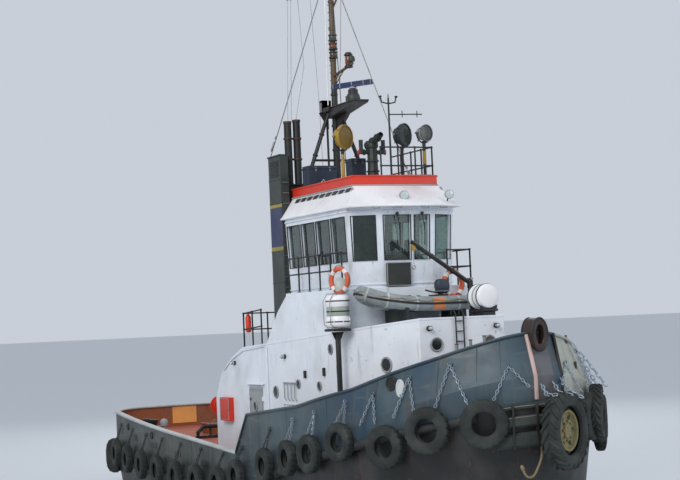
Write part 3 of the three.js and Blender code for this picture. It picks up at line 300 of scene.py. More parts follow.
def glass_paint():
    n = Nodes("tinted_glass")
    tone = n.mix(n.noise(1.4, 3), (0.36, 0.47, 0.44), (0.52, 0.62, 0.58))
    n.put(n.shader.inputs["Base Color"], tone)
    n.put(n.shader.inputs["Transmission Weight"], 0.96)
    n.put(n.shader.inputs["IOR"], 1.45)
    n.roughness(0.02, 0.08)
    return n.material


def banded(name, first, second, axis, pitch):
    """Two colours in bands along an axis, such as on a rope."""
    n = Nodes(name)
    wave = n.new("ShaderNodeTexWave", bands_direction=axis)
    n.put(wave.inputs["Vector"], n.place)
    n.put(wave.inputs["Scale"], 0.31 / pitch)
    n.put(wave.inputs["Distortion"], 0.6)
    n.put(n.shader.inputs["Base Color"], n.mix(n.rise(wave.outputs[1], 0.4, 0.6), first, second))
    n.roughness(0.7, 0.95)
    n.bump(n.noise(60, 6), 0.4)
    return n.material


M = {
    "hull": hull_paint(),
    "funnel": funnel_paint(),
    "mast": mast_paint(),
    "white": paint("white_coat", WHITE, 0.38, rust=0.30, grime=0.16),
    "bright": paint("bright_white_coat", (0.80, 0.80, 0.82), 0.40, rust=0.12, grime=0.10),
    "red": paint("red_orange_coat", RED, 0.42, rust=0.10, grime=0.12),
    "orange": paint("orange_coat", ORANGE, 0.6, mottle=0.35, patch=2.5, rust=0.75, grime=0.35),
    "light_orange": paint("light_orange_coat", (0.75, 0.33, 0.08), 0.55, mottle=0.2, rust=0.4, grime=0.2),
    "deck": paint("deck_coat", DECK_RED, 0.75, mottle=0.3, patch=2.0, rust=0.7, grime=0.6, bump=0.35),
    "black": paint("black_coat", BLACK, 0.5, mottle=0.4, rust=0.25, grime=0.35),
    "blue_black": paint("blue_black_coat", (0.020, 0.032, 0.055), 0.5, mottle=0.3, rust=0.1, grime=0.25),
    "green": paint("dark_green_coat", (0.020, 0.030, 0.027), 0.5, mottle=0.25, rust=0.25, grime=0.35),
    "cap": paint("cap_rail_coat", (0.40, 0.42, 0.41), 0.55, mottle=0.2, rust=0.55, grime=0.3),
    "grey": paint("grey_coat", GREY, 0.5, mottle=0.15, rust=0.25, grime=0.3),
    "pale": paint("pale_coat", PALE, 0.5, mottle=0.1, rust=0.35, grime=0.2),
    "brown": paint("brown_coat", (0.050, 0.022, 0.014), 0.5, mottle=0.3, rust=0.4, grime=0.3),
    "dark_brown": paint("dark_brown_coat", (0.024, 0.012, 0.009), 0.5, mottle=0.4,
                        patch=4, rust=0.5, grime=0.2),
    # pale coat for the bow fender ledges: a painted highlight along their top rims, with rust and dirt over
    # it
    "edge": paint("worn_edge_coat", (0.20, 0.19, 0.16), 0.7, mottle=0.4, patch=3, rust=0.7, grime=0.4),
    "yellow": paint("ochre_coat", (0.36, 0.22, 0.02), 0.45, mottle=0.2, rust=0.35, grime=0.2),
    "blue": paint("blue_coat", BLUE, 0.4, mottle=0.2, grime=0.15),
    "steel": paint("worn_steel", (0.28, 0.28, 0.28), 0.42, metal=0.85, mottle=0.3,
                   patch=5, rust=0.5, grime=0.3),
    "chain": paint("galvanised_chain", (0.34, 0.40, 0.46), 0.5, metal=0.6, mottle=0.25, patch=9, rust=0.4),
    "bronze": paint("propeller_bronze", BRONZE, 0.3, metal=0.9, mottle=0.2, patch=4, grime=0.3),
    "olive": paint("olive_coat", OLIVE, 0.6, mottle=0.3, patch=6, rust=0.7, grime=0.4),
    "tyre": rubber("worn_tyre", RUBBER),
    "rubber": rubber("fender_rubber", (0.018, 0.02, 0.021), 0.35),
    "fabric": rubber("coated_fabric", (0.20, 0.225, 0.23), 0.2),
    "fabric_light": rubber("pale_coated_fabric", (0.38, 0.40, 0.38), 0.3),
    "buoy": paint("lifebuoy_foam", (0.62, 0.10, 0.035), 0.55, mottle=0.2, patch=6, grime=0.2),
    "tape": paint("reflective_tape", (0.70, 0.70, 0.68), 0.35, mottle=0.1, patch=6, grime=0.2),
    "glass": glass_paint(),
    "lens": paint("lamp_glass", (0.55, 0.62, 0.62), 0.12, metal=0.2, mottle=0.1,
                  patch=8, grime=0.1, bump=0.02),
    "glass_dark": paint("porthole_glass", (0.012, 0.016, 0.02), 0.1, mottle=0.2, grime=0.1, bump=0.02),
    "dark_panel": paint("dark_panel_coat", (0.012, 0.014, 0.012), 0.4, mottle=0.3, grime=0.2),
    "cabin": paint("cabin_lining", (0.02, 0.024, 0.022), 0.6, mottle=0.2, grime=0.2),
    "screen": paint("screen_glass", (0.01, 0.014, 0.016), 0.12, mottle=0.2, grime=0.05, bump=0.02),
    "amber": paint("amber_lamp_glass", (0.16, 0.045, 0.016), 0.2, mottle=0.2, patch=6, grime=0.2, bump=0.02),
    "dark_lens": paint("dark_lamp_glass", (0.05, 0.045, 0.035), 0.15, mottle=0.2,
                       patch=6, grime=0.2, bump=0.02),
    "green_lens": paint("green_lamp_glass", (0.020, 0.034, 0.028), 0.15, mottle=0.3,
                        patch=5, grime=0.2, bump=0.02),
    "grey_lens": paint("grey_lamp_glass", (0.07, 0.08, 0.078), 0.15, mottle=0.3,
                       patch=5, grime=0.2, bump=0.02),
    "ochre_cover": paint("ochre_lamp_cover", (0.20, 0.12, 0.015), 0.45, mottle=0.35,
                         patch=5, rust=0.2, grime=0.3),
    "dark_chain": paint("weathered_chain", (0.045, 0.052, 0.050), 0.6, metal=0.4,
                        mottle=0.3, patch=9, rust=0.6),
    "bulb": paint("lamp_bulb", (0.6, 0.58, 0.5), 0.3, mottle=0.1, grime=0.05),
    "raft_grey": paint("raft_band_coat", (0.30, 0.34, 0.30), 0.5, mottle=0.2, grime=0.3),
    "orange_patch": paint("orange_patch_fabric", (0.62, 0.20, 0.06), 0.6, mottle=0.2, grime=0.2),
    "fender": rubber("bow_fender_rubber", (0.018, 0.024, 0.022), 0.6),
    "pink": paint("stem_band_coat", (0.50, 0.36, 0.33), 0.5, mottle=0.15, rust=0.3, grime=0.2),
    "rope": banded("laid_rope", (0.30, 0.24, 0.15), (0.16, 0.12, 0.07), "DIAGONAL", 0.03),
}

# Mesh pieces

UP = (0, 0, 1)
CORNERS = ((-1, -1), (1, -1), (1, 1), (-1, 1))


def upward(z):
    return Vector((0, 0, z))


def leftward(v):
    """level vector a quarter turn to the left of v"""
    return Vector((-v.y, v.x, 0))


def heading(degrees):
    a = math.radians(degrees)
    return Vector((math.cos(a), math.sin(a), 0))


def spin(side, a):
    """unit vector at angle a above side, in the upright plane through it"""
    return side * math.cos(a) + upward(math.sin(a))


def axes(axis):
    """the axis at unit length, and two unit vectors across it"""
    axis = Vector(axis).normalized()
    u = axis.orthogonal().normalized()
    return axis, u, axis.cross(u)


def panel(at, u, v):
    """corners of a four-sided panel round its centre"""
    return [at + u * s + v * t for s, t in CORNERS]


def rect(a, b):
    """corners of the rectangle between opposite corners a and b, which share one coordinate"""
    (x0, y0, z0), (x1, y1, z1) = a, b
    if z0 == z1:
        return [(x0, y0, z0), (x1, y0, z0), (x1, y1, z0), (x0, y1, z0)]
    if y0 == y1:
        return [(x0, y0, z0), (x1, y0, z0), (x1, y0, z1), (x0, y0, z1)]
    return [(x0, y0, z0), (x0, y1, z0), (x0, y1, z1), (x0, y0, z1)]


def collar(inner, outer, end, flat):
    """profile of a band with sloping ends"""
    return [(inner, -end), (outer, -flat), (outer, flat), (inner, end)]


def grid(rows, sides, closed=False, caps=False):
    """quads between rings of points, row after row"""
    quads = []
    for i in range(rows if closed else rows - 1):
        j = (i + 1) % rows
        for k in range(sides):
            m = (k + 1) % sides
            quads.append((i * sides + k, i * sides + m, j * sides + m, j * sides + k))
    if caps:
        quads.append(tuple(range(sides))[::-1])
        quads.append(tuple((rows - 1) * sides + k for k in range(sides)))
    return quads


class Piece:
    """Collects simple solids into one mesh, painted face by face, in the row frame."""

    def __init__(self, name, *materials):
        self.name = name
        self.materials = materials
        self.bm = bmesh.new()
        self.index = 0

    def use(self, material):
        self.index = self.materials.index(material)
        return self

    def faces(self, points, faces, smooth=True):
        made = [self.bm.verts.new(p) for p in points]
        for face in faces:
            try:
                f = self.bm.faces.new([made[i] for i in face])
            except ValueError:
                continue
            f.material_index = self.index
            f.smooth = smooth
        return self

    def box(self, low, high):
        (x0, y0, z0), (x1, y1, z1) = low, high
        points = [Vector((x, y, z)) for x in (x0, x1) for y in (y0, y1) for z in (z0, z1)]
        sides = [(0, 1, 3, 2), (4, 6, 7, 5), (0, 4, 5, 1), (2, 3, 7, 6), (0, 2, 6, 4), (1, 5, 7, 3)]
        return self.faces(points, sides, smooth=False)

    def turned(self, profile, at, axis, sides, closed=False):
        """profile rows are (radius, distance along the axis); closed joins the last row to the first"""
        axis, u, w = axes(axis)
        at = Vector(at)
        points = []
        for r, h in profile:
            for k in range(sides):
                a = 2 * math.pi * k / sides
                points.append(at + axis * h + (u * math.cos(a) + w * math.sin(a)) * r)
        return self.faces(points, grid(len(profile), sides, closed, not closed))

    def rod(self, a, b, r, r2=None, sides=12):
        a, b = Vector(a), Vector(b)
        return self.turned([(r, 0), (r if r2 is None else r2, (b - a).length)], a, b - a, sides)

    def tube(self, path, r, sides, closed=False):
        """a round bar along a path of points"""
        path = [Vector(p) for p in path]
        count = len(path)
        points = []
        side = None
        for i, p in enumerate(path):
            before = path[i - 1] if i or closed else p
            after = path[(i + 1) % count] if i + 1 < count or closed else p
            tangent = (after - before).normalized()
            if side is None:
                side = tangent.orthogonal().normalized()
            side = (side - tangent * side.dot(tangent)).normalized()
            up = tangent.cross(side)
            radius = r[i] if isinstance(r, (list, tuple)) else r
            for k in range(sides):
                a = 2 * math.pi * k / sides
                points.append(p + (side * math.cos(a) + up * math.sin(a)) * radius)
        return self.faces(points, grid(count, sides, closed, not closed))

    def slab(self, outline, offset):
        """a flat plate: the outline, and the same outline moved by the offset"""
        low = [Vector(p) for p in outline]
        high = [p + Vector(offset) for p in low]
        n = len(low)
        sides = [tuple(range(n))[::-1], tuple(range(n, 2 * n))]
        sides += [(k, (k + 1) % n, n + (k + 1) % n, n + k) for k in range(n)]
        return self.faces(low + high, sides, smooth=False)

    def bolts(self, at, axis, radius, count, r, h):
        """a circle of six-sided bolt heads"""
        axis, u, w = axes(axis)
        for k in range(count):
            a = 2 * math.pi * k / count
            spot = Vector(at) + (u * math.cos(a) + w * math.sin(a)) * radius
            self.rod(spot, spot + axis * h, r, sides=6)
        return self

    def ring(self, at, axis, radius, r, sides, section):
        axis, u, w = axes(axis)
        path = []
        for k in range(sides):
            a = 2 * math.pi * k / sides
            path.append(Vector(at) + (u * math.cos(a) + w * math.sin(a)) * radius)
        return self.tube(path, r, section, closed=True)

    def sweep(self, stations, profile, paints):
        """profile(station) gives (outward, z) points; paints names the material of each profile edge"""
        rings = []
        for s in stations:
            rings.append([Vector((s["x"] + out * s["nx"], s["y"] + out * s["ny"], z))
                          for out, z in profile(s)])
        count = len(rings[0])
        points = [p for ring in rings for p in ring]
        made = [self.bm.verts.new(p) for p in points]
        for i in range(len(rings) - 1):
            for j in range(count):
                m = (j + 1) % count
                quad = (i * count + j, i * count + m, (i + 1) * count + m, (i + 1) * count + j)
                f = self.bm.faces.new([made[q] for q in quad])
                f.material_index = self.materials.index(paints[j])
                f.smooth = True
        for row in (0, len(rings) - 1):
            f = self.bm.faces.new([made[row * count + j] for j in range(count)])
            f.material_index = self.materials.index(paints[0])
        return self

    def mirror(self):
        """adds the port copy of everything so far"""
        copy = bmesh.ops.duplicate(self.bm, geom=self.bm.verts[:] + self.bm.edges[:] + self.bm.faces[:])
        verts = [g for g in copy["geom"] if isinstance(g, bmesh.types.BMVert)]
        faces = [g for g in copy["geom"] if isinstance(g, bmesh.types.BMFace)]
        bmesh.ops.scale(self.bm, vec=(1, -1, 1), verts=verts)
        bmesh.ops.reverse_faces(self.bm, faces=faces)
        return self

    def done(self, body=BODY, replaces=(), sharp=40):
        bmesh.ops.recalc_face_normals(self.bm, faces=self.bm.faces)
        mesh = bpy.data.meshes.new(self.name)
        self.bm.to_mesh(mesh)
        self.bm.free()
        for material in self.materials:
            mesh.materials.append(M[material])
        return finished(mesh, self.name, body, replaces, 0.0, sharp)


def finished(mesh, name, body, replaces, bevel, sharp):
    obj = bpy.data.objects.new(name, mesh)
    bpy.context.scene.collection.objects.link(obj)
    mesh.set_sharp_from_angle(angle=math.radians(sharp))
    if bevel:
        rounding = obj.modifiers.new("rounding", "BEVEL")
        rounding.width = bevel
        rounding.segments = 2
        rounding.limit_method = "ANGLE"
        rounding.angle_limit = math.radians(sharp)
        rounding.harden_normals = True
    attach(obj, body)
    if replaces:
        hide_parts(*replaces)
    return obj


def dressed(node, material, bevel, body):
    """the CAD node's own shape with rounded edges, smooth curves and its paint"""
    bm = bmesh.new()
    bm.from_mesh(nodes[node].data)
    bmesh.ops.remove_doubles(bm, verts=bm.verts, dist=1e-5)
    bmesh.ops.dissolve_limit(bm, angle_limit=math.radians(0.5), verts=bm.verts, edges=bm.edges)
    for face in bm.faces:
        face.smooth = True
        face.material_index = 0
    mesh = bpy.data.meshes.new(node + "_finish")
    bm.to_mesh(mesh)
    bm.free()
    mesh.materials.append(M[material])
    return finished(mesh, node + "_finish", body, [node], bevel, 35)


def coat(node, material):
    """the CAD node as it is, with its paint"""
    mesh = nodes[node].data
    mesh.materials.clear()
    mesh.materials.append(M[material])


# Hull form, from the same named values as the part

STERN_X, STEM_X, HALF_BEAM = -12.3, 11.9, 3.55
BOW_START, TAPER_START = 5.6, -3.0
KEEL_Z = [(-10.2, -0.35), (-9, -0.6), (-7, -1.3), (-5, -2.9), (8, -2.9), (9, -2.3), (9.9, -1.2)]
BILGE_Z = [(-11.2, -0.15), (-9, -0.4), (-7, -0.9), (-4.5, -1.9), (6, -1.9), (9, -1.5), (10.5, -0.6)]
DECK_Z = [(-12.3, 1.85), (-10, 1.75), (-5, 1.51), (0, 1.22), (1.95, 1.15), (2.05, 2.05), (6, 2.45),
          (8.4, 2.85), (9.5, 3.2), (10.5, 3.5), (11.4, 3.8), (11.9, 3.95)]
RIM_AFT_Z = [(-12.3, 2.62), (-10, 2.5), (-5, 2.25), (-1.4, 2.07), (1.6, 1.9)]
RIM_FWD_Z = [(1.6, 1.95), (2.5, 3.0), (6, 3.33), (8.35, 3.77), (9.5, 4.14), (10.5, 4.44),
             (11.4, 4.76), (11.9, 4.96)]
STERN_CORNER, STERN_TUCK = 1.4, 0.45
BREAK_X = 1.6
LEVELS = [
    # aft end, forward end, half breadth, corner radius, tuck of the stern, height table
    (-10.2, 9.9, 0.3, 0.1, 0.1, KEEL_Z),
    (-11.2, 10.5, 2.9, 1.0, 0.3, BILGE_Z),
    (-12.0, 11.1, 3.45, 1.3, 0.45, [(-12, 0.1), (11, 0.1)]),
    (STERN_X, STEM_X, HALF_BEAM, STERN_CORNER, STERN_TUCK, KNUCKLE),
    (STERN_X, STEM_X, HALF_BEAM, STERN_CORNER, STERN_TUCK, DECK_Z),
]


def lookup(table, x):
    if x <= table[0][0]:
        return table[0][1]
    for (x0, z0), (x1, z1) in zip(table, table[1:]):
        if x <= x1:
            return z0 + (z1 - z0) * (x - x0) / (x1 - x0)
    return table[-1][1]


SIDE_X = [-8.5, -7.5, -6, -4.5, -3, -1.5, 0, 1, 1.6, 1.95, 2.05, 2.5, 3.2, 4, 4.8]


def plan_curve(aft, fwd, half, corner, tuck):
    """deck outline from the stern's centre along starboard to the stem"""
    flat = half - tuck - corner
    points = [(aft, 0.0), (aft, -flat / 2)]
    for k in range(9):
        a = k / 8 * math.pi / 2
        points.append((aft + corner * (1 - math.cos(a)), -(flat + corner * math.sin(a))))
    for x in SIDE_X:
        t = max(0.0, (TAPER_START - x) / (TAPER_START - aft - corner))
        points.append((x, -(half - tuck * t * t)))
    for k in range(33):
        t = math.sin(k / 32 * math.pi / 2)
        y = half * max(0.0, 1 - t ** 2.1) ** 0.55
        points.append((BOW_START + (fwd - BOW_START) * t, -y))
    return points


def stations(points):
    made = []
    for i, (x, y) in enumerate(points):
        ax, ay = points[max(0, i - 1)]
        bx, by = points[min(len(points) - 1, i + 1)]
        length = math.hypot(bx - ax, by - ay)
        made.append({"x": x, "y": y, "nx": (by - ay) / length, "ny": -(bx - ax) / length})
    return made


DECK = plan_curve(STERN_X, STEM_X, HALF_BEAM, STERN_CORNER, STERN_TUCK)


def bow_path(low):
    star = [p for p in DECK if p[0] > low]
    return stations(star + [(x, -y) for x, y in star[-2::-1]])


def stern_path(high):
    port = [(x, -y) for x, y in DECK if x < high][::-1]
    return stations(port + [(x, -y) for x, y in port[-2::-1]])


def side_path(low, high):
    return stations([p for p in DECK if low < p[0] < high])


def edge_at(x):
    """point and outward normal on the starboard deck edge"""
    path = stations(DECK)[10:]
    for a, b in zip(path, path[1:]):
        if b["x"] >= x:
            t = (x - a["x"]) / (b["x"] - a["x"])
            n = Vector((a["nx"] + t * (b["nx"] - a["nx"]), a["ny"] + t * (b["ny"] - a["ny"]))).normalized()
            return Vector((x, a["y"] + t * (b["y"] - a["y"]), 0)), Vector((n.x, n.y, 0))
    return Vector((STEM_X, 0, 0)), Vector((1, 0, 0))


def edge_on(x, side):
    """point and outward normal on the deck edge to starboard (side -1) or port (side 1)"""
    place, normal = edge_at(x)
    if side > 0:
        place.y, normal.y = -place.y, -normal.y
    return place, normal


def rim(x):
    """top of the bulwark, which steps up at the break of the deck"""
    return lookup(RIM_AFT_Z if x < BREAK_X else RIM_FWD_Z, x)


def knuckle(s):
    return lookup(KNUCKLE, s["x"])


def lean(x):
    t = min(1.0, max(0.0, (x - 7) / 4.2))
    return 0.32 * t * t * (3 - 2 * t)


# Hull shell, with its skeg, bossings, struts and rudder trunks

PROP_X, PROP_Y, PROP_Z = -8.45, 1.3, -1.75
RUDDER_X = -10.05

shell = Piece("hull_shell", "hull", "deck")
rings = []
for aft, fwd, half, corner, tuck, heights in LEVELS:
    star = plan_curve(aft, fwd, half, corner, tuck)
    port = [(x, -y) for x, y in star[-2:0:-1]]
    rings.append([(x, y, lookup(heights, x)) for x, y in star + port])
count = len(rings[0])
shell.faces([p for ring in rings for p in ring], grid(len(rings), count))
for row, material in ((0, "hull"), (len(rings) - 1, "deck")):
    shell.use(material)
    for k in range(count // 2):
        strip = dict.fromkeys((k, k + 1, (count - k - 1) % count, (count - k) % count))
        shell.faces([rings[row][i] for i in strip], [tuple(range(len(strip)))], smooth=False)
shell.use("hull")
skeg = [(-10.4, -2.9), (-4, -2.9), (-4, -1.2), (-9.9, -0.3), (-10.4, -0.3)]
shell.slab([(x, -0.12, z) for x, z in skeg], (0, 0.24, 0))
for side in (-1, 1):
    y = side * PROP_Y
    shell.turned([(0.17, 0), (0.19, 0.3), (0.19, 3.6), (0.17, 4.05)],
                 (PROP_X + 0.2, y, PROP_Z), (1, 0, 0), 24)
    shell.box((-8.15, y - 0.05, PROP_Z), (-7.85, y + 0.05, -0.35))
    shell.rod((RUDDER_X, y, -0.6), (RUDDER_X, y, -0.1), 0.13, sides=20)
bmesh.ops.remove_doubles(shell.bm, verts=shell.bm.verts, dist=1e-4)
shell.done(replaces=["hull"], sharp=30)

# Bulwarks: painted plate outside, orange-brown inside, pale cap rail, and stays welded inside

BULWARK_T, CAP_IN, CAP_OUT, CAP_H = 0.08, 0.15, 0.04, 0.06


def bulwark(bottom, top, tilt):
    return [
        (0, bottom),
        (-tilt, top - CAP_H),
        (CAP_OUT - tilt, top - CAP_H),
        (CAP_OUT - tilt + 0.015, top - CAP_H / 2),
        (CAP_OUT - tilt, top),
        (-CAP_IN - tilt, top),
        (-CAP_IN - tilt - 0.015, top - CAP_H / 2),
        (-CAP_IN - tilt, top - CAP_H),
        (-BULWARK_T - tilt, top - CAP_H),
        (-BULWARK_T, bottom),
    ]


aft_rail = Piece("bulwark_aft_plate", "hull", "cap", "orange")
aft_rail.sweep(
    stern_path(1.61),
    lambda s: bulwark(lookup(DECK_Z, s["x"]), lookup(RIM_AFT_Z, s["x"]), 0),
    ["hull"] + ["cap"] * 7 + ["orange"] * 2,
)
aft_rail.done(replaces=["bulwark_aft"])
fore_rail = Piece("bulwark_forward_plate", "hull", "cap", "orange")
fore_rail.sweep(
    bow_path(1.59),
    lambda s: bulwark(lookup(DECK_Z, s["x"]), lookup(RIM_FWD_Z, s["x"]), lean(s["x"])),
    ["hull"] * 5 + ["cap"] * 3 + ["orange"] * 2,
)
fore_rail.done(replaces=["bulwark_forward"])

RIB_T = 0.024
ribs = Piece("bulwark_stays", "orange", "light_orange")
for k in range(17):
    x = -11.2 + 0.75 * k
    place, normal = edge_at(x)
    foot, top = lookup(DECK_Z, x), lookup(RIM_AFT_Z, x) - 0.07
    along = leftward(normal)
    inner = place - normal * BULWARK_T
    corner = [inner + upward(foot), inner - normal * 0.34 + upward(foot),
              inner - normal * 0.28 + upward(foot + 0.08),
              inner - normal * 0.06 + upward(top), inner + upward(top)]
    ribs.use("orange").slab([p - along * RIB_T / 2 for p in corner], along * RIB_T)
for k in range(10):
    x = 2.9 + 0.82 * k
    place, normal = edge_at(x)
    foot, top = lookup(DECK_Z, x), lookup(RIM_FWD_Z, x) - 0.07
    tilt = lean(x)
    along = leftward(normal)
    low = place - normal * BULWARK_T + upward(foot)
    high = place - normal * (BULWARK_T + tilt) + upward(top)
    corner = [low, low - normal * 0.4, high - normal * 0.06, high]
    ribs.use("orange").slab([p - along * RIB_T / 2 for p in corner], along * RIB_T)
ribs.mirror().done()

# Strake, side tyres and their chains

STRAKE_OUT, STRAKE_H, TYRE_W = 0.16, 0.22, 0.24
SIDE_TYRES = [
    # x and z of the centre, radius, height of its chains' eye over it, half spread (0: see BOW_CHAINS)
    (-10.2, 1.2, 0.46, 0.95, 0.10),
    (-8.4, 1.12, 0.46, 0.95, 0.10),
    (-6.6, 1.05, 0.46, 0.95, 0.10),
    (-4.8, 1.0, 0.46, 0.95, 0.10),
    (-3.0, 0.95, 0.46, 0.95, 0.10),
    (-1.2, 0.95, 0.46, 0.90, 0.10),
    (0.6, 1.0, 0.46, 0.80, 0.10),
    (2.1, 1.3, 0.46, 0.75, 0.10),
    (4.16, 1.7, 0.48, 0.95, 0.12),
    (5.7, 2.0, 0.46, 0.95, 0.12),
    (6.9, 2.17, 0.48, 1.00, 0.14),
    (8.14, 2.5, 0.47, 0.95, 0.16),
    (9.52, 2.42, 0.52, 1.20, 0.0),
    (10.48, 2.8, 0.55, 1.35, 0.0),
    (11.4, 2.93, 0.56, 1.35, 0.0),
]
BOW_CHAINS = [
    # eye on the plating: x, z; foot on the tyres: x, z
    (9.02, 3.62, 9.20, 2.95),
    (9.02, 3.62, 8.75, 2.90),
    (9.96, 4.00, 9.70, 3.10),
    (9.96, 4.00, 10.18, 3.24),
    (10.84, 4.28, 10.62, 3.32),
    (10.84, 4.28, 11.18, 3.36),
    (11.70, 4.19, 11.52, 3.45),
    (11.70, 4.19, 11.84, 3.72),
]
LAST_X = 11.4


def tyre(piece, at, axis, r, hole, width, lugs):
    """a worn tyre: bead, bulged sidewall and a tread broken into blocks"""
    w = width / 2
    outer = [
        # radius, distance from the middle, tread or not
        (hole, -w * 0.62, 0), (hole + 0.03, -w * 0.92, 0), (r * 0.68, -w, 0), (r * 0.82, -w, 0),
        (r * 0.93, -w * 0.86, 0), (r * 0.99, -w * 0.66, 1), (r, -w * 0.3, 1), (r, w * 0.3, 1),
        (r * 0.99, w * 0.66, 1), (r * 0.93, w * 0.86, 0), (r * 0.82, w, 0), (r * 0.68, w, 0),
        (hole + 0.03, w * 0.92, 0), (hole, w * 0.62, 0), (hole + 0.05, w * 0.5, 0), (hole + 0.09, 0, 0),
        (hole + 0.05, -w * 0.5, 0),
    ]
    axis, u, v = axes(axis)
    sides = lugs * 4
    points = []
    for radius, h, tread in outer:
        for k in range(sides):
            a = 2 * math.pi * (k + (0.8 if h > 0 and tread else 0.0)) / sides
            reach = radius - (0.045 * r if tread and k % 4 == 0 else 0.0)
            points.append(Vector(at) + axis * h + (u * math.cos(a) + v * math.sin(a)) * reach)
    piece.faces(points, grid(len(outer), sides, closed=True))


def chain(piece, a, b, bar, pitch):
    """straight chain of oval links, each turned a quarter from the last"""
    a, b = Vector(a), Vector(b)
    count = max(2, round((b - a).length / pitch))
    along, side, other = axes(b - a)
    for k in range(count):
        centre = a + (b - a) * ((k + 0.5) / count)
        wide = side if k % 2 else other
        path = []
        for q in range(8):
            t = 2 * math.pi * q / 8
            path.append(centre + along * (pitch * 0.66 * math.cos(t)) + wide * (pitch * 0.33 * math.sin(t)))
        piece.tube(path, bar, 4, closed=True)


def skin(x, z, side=-1, out=0.0):
    """point on the outside of the plating, and its outward normal"""
    place, normal = edge_on(x, side)
    deck = lookup(DECK_Z, x)
    rise = max(0.0, (z - deck) / (rim(x) - deck))
    point = place + normal * (out - (lean(x) * rise if x > BREAK_X else 0.0))
    return Vector((point.x, point.y, z)), normal


for side, name in ((-1, "starboard"), (1, "port")):
    strake = Piece("strake_" + name, "rubber", "black")
    path = side_path(-11, LAST_X)
    if side > 0:
        path = [dict(s, y=-s["y"], ny=-s["ny"]) for s in path]
    strake.sweep(
        path,
        lambda s: [
            (0.0, knuckle(s) - STRAKE_H),
            (0.0, knuckle(s)),
            (STRAKE_OUT - 0.03, knuckle(s) - 0.03),
            (STRAKE_OUT, knuckle(s) - 0.07),
            (STRAKE_OUT, knuckle(s) - STRAKE_H + 0.07),
            (STRAKE_OUT - 0.03, knuckle(s) - STRAKE_H + 0.03),
        ],
        ["rubber"] * 6,
    )
    strake.use("black")
    for k in range(36):
        spot, normal = skin(-10.8 + 0.6 * k, lookup(KNUCKLE, -10.8 + 0.6 * k), side)
        across = leftward(normal) * 0.03
        inner, outer = spot + upward(0.012), spot + normal * (STRAKE_OUT + 0.006) - upward(0.05)
        strake.slab([inner - across, inner + across, outer + across, outer - across],
                    upward(-STRAKE_H * 0.62))
    strake.done(sharp=50)
    tyres = Piece("side_tyres_" + name, "tyre")
    chains = Piece("tyre_chains_" + name, "chain", "dark_chain")
    for x, z, r, rise, spread in SIDE_TYRES:
        place, normal = edge_on(x, side)
        centre = place + normal * (STRAKE_OUT + TYRE_W / 2 - 0.05) + upward(z)
        tyre(tyres, centre, normal, r, r * 0.5, TYRE_W, 20)
        along = leftward(normal)
        top = min(z + rise, rim(x) - 0.12)
        eye, _ = skin(x, top, side, 0.02)
        chains.use("dark_chain" if x < 5 else "chain")
        if not spread:
            continue
        for way in (-1, 1):
            foot = centre + along * (way * spread) + upward(math.sqrt(r * r - spread * spread) * 0.94)
            chain(chains, eye, foot - normal * 0.02, 0.008, 0.075)
        chains.ring(eye + normal * 0.015, along, 0.045, 0.012, 16, 6)
    chains.use("chain")
    for eye_x, eye_z, foot_x, foot_z in BOW_CHAINS:
        eye, normal = skin(eye_x, eye_z, side, 0.03)
        foot, _ = skin(foot_x, foot_z, side, 0.14)
        chain(chains, eye, foot, 0.010, 0.085)
        chains.ring(eye, normal, 0.05, 0.013, 16, 6)
    tyres.done(replaces=["side_fender_" + name], sharp=50)
    chains.done(sharp=60)

# Bow: rubber fender blocks, lugged tyres, stem bars, ring of the fairlead, chain falls, hanging rope

fender = Piece("bow_fender_blocks", "fender", "black", "edge")
BOW_BLOCKS = [
    # top and bottom under the knuckle, how far out, corner
    (-0.02, 0.10, 0.17, 0.02),
    (0.24, 0.50, 0.215, 0.05),
    (0.62, 0.95, 0.215, 0.06),
]
bow_arc = bow_path(11.5)
for low, high, out, corner in BOW_BLOCKS:
    fender.sweep(
        bow_arc,
        lambda s: [
            (0.0, knuckle(s) - high),
            (0.0, knuckle(s) - low),
            (out - corner, knuckle(s) - low),
            (out, knuckle(s) - low - corner),
            (out, knuckle(s) - high + corner),
            (out - corner, knuckle(s) - high),
        ],
        ["fender"] * 6,
    )
fender.use("black").sweep(
    bow_arc,
    lambda s: [(0.0, knuckle(s) - 0.98), (0.0, knuckle(s)),
               (0.06, knuckle(s) - 0.01), (0.06, knuckle(s) - 0.97)],
    ["black"] * 4,
)
for s in bow_arc[2:-2:3]:
    spot = Vector((s["x"], s["y"], knuckle(s)))
    normal = Vector((s["nx"], s["ny"], 0))
    across = leftward(normal) * 0.025
    fender.slab([spot - across, spot + across, spot + across + normal * 0.23, spot - across + normal * 0.23],
                (0, 0, -0.97))
# pale tubes along the top rims of the fender blocks: painted highlight
for drop, out, r in ((0.03, 0.165, 0.014), (0.27, 0.20, 0.010)):
    edge_path = [(s["x"] + out * s["nx"], s["y"] + out * s["ny"], knuckle(s) - drop) for s in bow_arc]
    fender.use("edge").tube(edge_path, r, 6)
fender.done(replaces=["bow_fender"], sharp=40)

